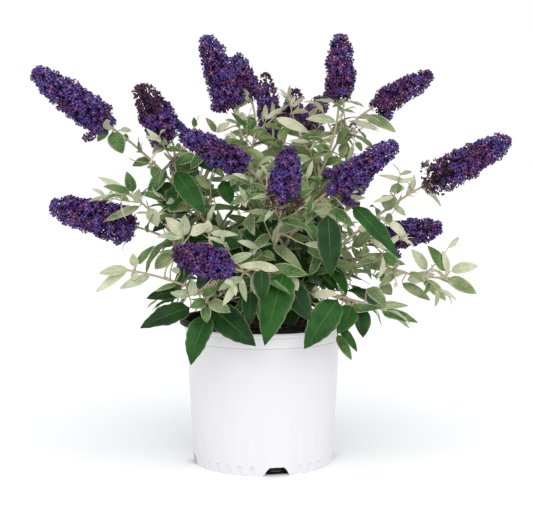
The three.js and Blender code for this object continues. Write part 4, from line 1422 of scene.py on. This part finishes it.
def as_object(bm):
    """A solid that is cut, or cuts another, on the way to a finished mesh."""
    bmesh.ops.recalc_face_normals(bm, faces=bm.faces)
    return linked("cutter", mesh_of("cutter", bm))


def cut(target, cutter):
    """Takes one solid out of another, for good."""
    change = target.modifiers.new("cut", "BOOLEAN")
    change.operation = "DIFFERENCE"
    change.solver = "EXACT"
    change.object = cutter
    shown = target.evaluated_get(bpy.context.evaluated_depsgraph_get())
    mesh = bpy.data.meshes.new_from_object(shown)
    target.modifiers.clear()
    target.data = mesh
    bpy.data.objects.remove(cutter)


def arches(grow):
    """The four drainage arches in the pot's foot, grown by a wall's thickness where asked."""
    bm = bmesh.new()
    prism = [(x + math.copysign(grow, x), y + (grow if y > 5 else 0)) for x, y in ARCH_OUTLINE]
    for i in range(ARCHES):
        upright(bm, prism, FIRST_ARCH + 90 * i, FOOT_RADIUS - ARCH_DEPTH - grow, FOOT_RADIUS + 8)
    return as_object(bm)


def flute():
    """A rod that hangs down from z 0, with a half globe on top."""
    bm = bmesh.new()
    bmesh.ops.create_uvsphere(bm, u_segments=24, v_segments=12, radius=FLUTE_RADIUS)
    bmesh.ops.bisect_plane(bm, geom=bm.verts[:] + bm.edges[:] + bm.faces[:],
                           plane_co=(0, 0, 0.001), plane_no=(0, 0, 1), clear_inner=True)
    rim = [edge for edge in bm.edges if edge.is_boundary]
    pushed = bmesh.ops.extrude_edge_only(bm, edges=rim)
    bmesh.ops.translate(bm, verts=corners_in(pushed), vec=(0, 0, -FLUTE_DROP))
    bmesh.ops.holes_fill(bm, edges=[edge for edge in bm.edges if edge.is_boundary])
    return mesh_of("flute", bm)


def flutes():
    """Round-topped grooves round the foot, between the arches."""
    bm = bmesh.new()
    shape = flute()
    out = FOOT_RADIUS + FLUTE_PROUD
    for arch in range(ARCHES):
        for i in range(FLUTES_PER_ARCH):
            b = math.radians(FIRST_ARCH + 90 * arch + FIRST_FLUTE + FLUTE_PITCH * i)
            stand = Matrix.Translation((out * math.cos(b), out * math.sin(b), FLUTE_TOP))
            one = shape.copy()
            one.transform(stand)
            bm.from_mesh(one)
            bpy.data.meshes.remove(one)
    bpy.data.meshes.remove(shape)
    return as_object(bm)


def drains():
    """The openings through the wall behind the arches."""
    bm = bmesh.new()
    inner = FOOT_RADIUS - ARCH_DEPTH - WALL - 2
    for i in range(ARCHES):
        upright(bm, DRAIN_OUTLINE, FIRST_ARCH + 90 * i, inner, inner + WALL + 4)
    return as_object(bm)


def part_pot():
    """The pot, cut from a turned solid, white outside and black on its lip and inside, with black
    painted shade on the backs and roofs of its arches.
    """
    lip = [(LIP_RADIUS - LIP_ROUND + LIP_ROUND * math.cos(a),
            POT_HEIGHT - LIP_ROUND + LIP_ROUND * math.sin(a))
           for a in np.radians([0, 22, 45, 68, 90])]
    outside = [
        (0, 0), (FOOT_RADIUS - 1.5, 0), (FOOT_RADIUS - 0.4, 0.4), (FOOT_RADIUS, 1.5),
        (BODY_TOP_RADIUS, BODY_TOP - 1.2), (BODY_TOP_RADIUS - 1.1, BODY_TOP - 0.4),
        (BODY_TOP_RADIUS + 1.2, BODY_TOP + 1), (COLLAR_RADIUS - 0.5, BODY_TOP + 4),
        (COLLAR_RADIUS, BAND_BOTTOM - 1.8), (COLLAR_RADIUS - 1.1, BAND_BOTTOM - 0.9),
        (BAND_RADIUS - 0.4, BAND_BOTTOM + 0.4), (BAND_RADIUS, BAND_BOTTOM + 1.2),
        (BAND_RADIUS, LIP_BOTTOM), (LIP_RADIUS - 1, LIP_BOTTOM), (LIP_RADIUS, LIP_BOTTOM + 1.2),
        *lip, (0, POT_HEIGHT),
    ]
    foot = lerp(FOOT_RADIUS, BODY_TOP_RADIUS, FLOOR / BODY_TOP) - WALL
    space = [
        (0, FLOOR), (foot - 4, FLOOR), (foot - 3.2, 19), (foot + 0.9, 22),
        (BODY_TOP_RADIUS - WALL, BODY_TOP),
        (BAND_RADIUS - WALL - 1.4, BAND_BOTTOM), (LIP_INSIDE, LIP_BOTTOM + 3),
        (LIP_INSIDE + 0.8, POT_HEIGHT - 1.4), (LIP_INSIDE + 2.6, POT_HEIGHT + 0.4),
        (0, POT_HEIGHT + 0.4),
    ]
    hollow = as_object(turned(space, POT_STEPS))
    cut(hollow, arches(WALL))
    body = as_object(turned(outside, POT_STEPS))
    for cutter in (hollow, arches(0), flutes(), drains()):
        cut(body, cutter)
    mesh = body.data
    bpy.data.objects.remove(body)
    mesh.transform(Matrix.Scale(MM, 4))
    mesh.name = "nursery_pot"
    made = piece("nursery_pot", mesh, POT_WHITE)
    mesh.materials.append(POT_BLACK)
    for face in mesh.polygons:
        x, y, z = face.center / MM
        inner = z > INSIDE_FROM and face.normal.to_2d().dot(face.center.to_2d()) < 0
        # The backs and roofs of the arches, not their cheeks, are black as painted shade in the
        # recess.
        arch = z < ARCH_SHADE_TOP and in_arch(x, y)
        cheek = abs(face.normal.z) < 0.5 and beside(face)
        face.material_index = int(inner or z > LIP_BOTTOM - 0.1 or (arch and not cheek))
        face.use_smooth = True
    mesh.set_sharp_from_angle(angle=math.radians(30))
    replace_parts(made, "pot")


def in_arch(x, y):
    """Whether a place is in one of the arches, seen from above."""
    bearing = math.degrees(math.atan2(y, x)) - FIRST_ARCH
    off = math.radians((bearing + 45) % 90 - 45)
    ahead = math.hypot(x, y) * math.cos(off)
    across = abs(math.hypot(x, y) * math.sin(off))
    back = FOOT_RADIUS - ARCH_DEPTH - 1
    return across < ARCH_HALF_WIDTH + 0.5 and back < ahead < FOOT_RADIUS - 0.4


def beside(face):
    """Whether a face looks across the pot's side, as an arch's cheeks do."""
    outward = face.center.to_2d().normalized()
    return abs(face.normal.to_2d().dot(outward)) < 0.7


SOIL_RINGS, SOIL_STEPS = 26, 90
SOIL_GRAIN = 3
CHIP_REACH = 126
CHIP_CLEAR_OF_TRUNK = 24
# Chips are turned at random by up to nearly a full turn, in radians.
CHIP_TURNS = 6.283
CHIP_SEED = 5


def soil_height(radius):
    """The mound's height: flat round the trunk, then falling to its edge."""
    fall = max(0, radius - SOIL_FLAT) / (LIP_INSIDE - SOIL_FLAT)
    return SOIL_LEVEL - 0.6 - (SOIL_LEVEL - SOIL_EDGE) * fall


def chip(bm):
    """A chip of bark, narrower at one end and on top."""
    bmesh.ops.create_cube(bm, size=2)
    for v in bm.verts:
        v.co.x *= 1 - 0.25 * (v.co.y > 0) - 0.15 * (v.co.z > 0)


def part_soil():
    """The mound of bark mix, with chips of bark strewn over it."""
    profile = [(r, soil_height(r)) for r in np.linspace(0, SOIL_RADIUS, SOIL_RINGS)]
    bm = turned(profile + [(SOIL_RADIUS, SOIL_BOTTOM), (0, SOIL_BOTTOM)], SOIL_STEPS)
    for v in bm.verts:
        if v.co.z > SOIL_EDGE - 6:
            # The offset keeps the numbers of the cells of grain positive.
            cell = (int(v.co.x // SOIL_GRAIN) + 500, int(v.co.y // SOIL_GRAIN) + 500)
            inner = v.co.xy.length < SOIL_RADIUS - 2
            v.co.z += 1.3 * (chance(*cell, 5) - 0.6) * inner
        v.co *= MM
    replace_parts(smooth_piece("soil_mound", bm, SOIL), "soil")
    rng = np.random.default_rng(CHIP_SEED)
    corners, faces = pattern(chip)
    for name, count, paint in (("chips_dark", 1500, CHIP_DARK), ("chips_pale", 420, CHIP_PALE)):
        reach = CHIP_REACH * np.sqrt(rng.random(count))
        turn = rng.uniform(0, CHIP_TURNS, count)
        spots = [laid_chip(rng, corners, reach[k], turn[k]) for k in range(count)
                 if reach[k] >= CHIP_CLEAR_OF_TRUNK]
        strewn = joined(name, np.array(spots), faces, paint)
        for face in strewn.data.polygons:
            face.use_smooth = False


def laid_chip(rng, corners, reach, turn):
    """The corners of one chip that lies nearly flat on the mound."""
    size = rng.uniform(2.2, 6.0) * np.array([1, rng.uniform(0.35, 0.7), rng.uniform(0.15, 0.3)])
    long = unit(rng.normal(0, 1, 3) * [1, 1, 0.25])
    upward = unit(rng.normal(0, 1, 3) * [0.3, 0.3, 1])
    wide = unit(np.cross(long, upward))
    upward = np.cross(wide, long)
    at = np.array([reach * math.cos(turn), reach * math.sin(turn),
                   soil_height(reach) + 0.6 + rng.uniform(0, 1.2)])
    local = corners * size
    return at + local[:, :1] * long + local[:, 1:2] * wide + local[:, 2:] * upward


def part_trunk():
    """The short stool with its root flare and ridged bark, leaning a little."""
    bm = turned([(0, 0)] + TRUNK_PROFILE, TRUNK_STEPS)
    steep = [e for e in bm.edges if abs(e.verts[0].co.z - e.verts[1].co.z) > 3]
    bmesh.ops.subdivide_edges(bm, edges=steep, cuts=2, use_grid_fill=True)
    for v in bm.verts:
        x, y, z = v.co
        turn = math.atan2(y, x)
        lobes = 0.16 * math.cos(FLARE_LOBES * turn) * max(0, 1 - z / FLARE_HEIGHT)
        ridge = 0.035 * math.sin(11 * turn + 0.2 * z) + 0.025 * math.sin(19 * turn - 0.35 * z)
        grow = 1 + lobes + ridge * (0 < z < 66)
        v.co = ((x * grow + TRUNK_LEAN[0] * z) * MM, (y * grow + TRUNK_LEAN[1] * z) * MM,
                (z + SOIL_LEVEL + 0.35) * MM)
    bmesh.ops.recalc_face_normals(bm, faces=bm.faces)
    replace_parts(smooth_piece("stool", bm, BARK), "trunk")


# Floor, light and camera. The floor's reach is in metres, and the light's angles in degrees.

FLOOR_REACH = 30
PAPER_GLOW = 0.05
KEY_STRENGTH = 1.6
KEY_BREADTH = 75
KEY_TILT, KEY_SWING = 40, 6
SKY_STRENGTH = 0.74
SKY = (0.97, 0.98, 1.0, 1)
WHITE = (1, 1, 1, 1)


def stage():
    """A pale floor under a broad light, and a sky that lights but is seen as plain white."""
    bm = bmesh.new()
    bmesh.ops.create_circle(bm, cap_ends=True, segments=96, radius=FLOOR_REACH)
    floor = linked("floor", mesh_of("floor", bm))
    paper = finish("floor_paper", "fafafa", 0.85, 0.95, 40, 0.0)
    shader = paper.node_tree.nodes["Principled BSDF"]
    shader.inputs["Emission Color"].default_value = WHITE
    shader.inputs["Emission Strength"].default_value = PAPER_GLOW
    floor.data.materials.append(paper)
    key = bpy.data.lights.new("key_light", "SUN")
    key.energy = KEY_STRENGTH
    key.angle = math.radians(KEY_BREADTH)
    lamp = linked("key_light", key)
    lamp.rotation_euler = (math.radians(KEY_TILT), 0, math.radians(KEY_SWING))
    world = bpy.data.worlds.new("studio")
    bpy.context.scene.world = world
    world.use_nodes = True
    nodes, link = world.node_tree.nodes, world.node_tree.links.new
    sky = nodes["Background"]
    sky.inputs["Color"].default_value = SKY
    sky.inputs["Strength"].default_value = SKY_STRENGTH
    plain = nodes.new("ShaderNodeBackground")
    plain.inputs["Color"].default_value = WHITE
    plain.inputs["Strength"].default_value = 1.0
    path, pick = nodes.new("ShaderNodeLightPath"), nodes.new("ShaderNodeMixShader")
    link(path.outputs["Is Camera Ray"], pick.inputs[0])
    link(sky.outputs[0], pick.inputs[1])
    link(plain.outputs[0], pick.inputs[2])
    link(pick.outputs[0], nodes["World Output"].inputs["Surface"])
    bpy.context.scene.view_settings.view_transform = "Standard"
    bpy.context.scene.view_settings.look = "None"


def camera():
    """The camera in front of the bush, a little above it and looking slightly down."""
    lens = bpy.data.cameras.new("camera")
    lens.sensor_width = SENSOR
    lens.lens = LENS
    eye = linked("camera", lens)
    eye.location = VIEWPOINT * MM
    eye.rotation_euler = (math.pi / 2 - LOOKING_DOWN, 0, 0)
    bpy.context.scene.camera = eye


camera()
stage()
masses = grow_skirts() + grow_masses()
hang_large_leaves()
hang_single_leaves()
for order, (_, shoots) in enumerate(masses):
    for j, shoot in enumerate(shoots):
        clothe(shoot, 100 * order + 10 * j + 3)
part_leaves()
part_limbs([name for name, _ in masses])
part_flowers()
part_pot()
part_soil()
part_trunk()
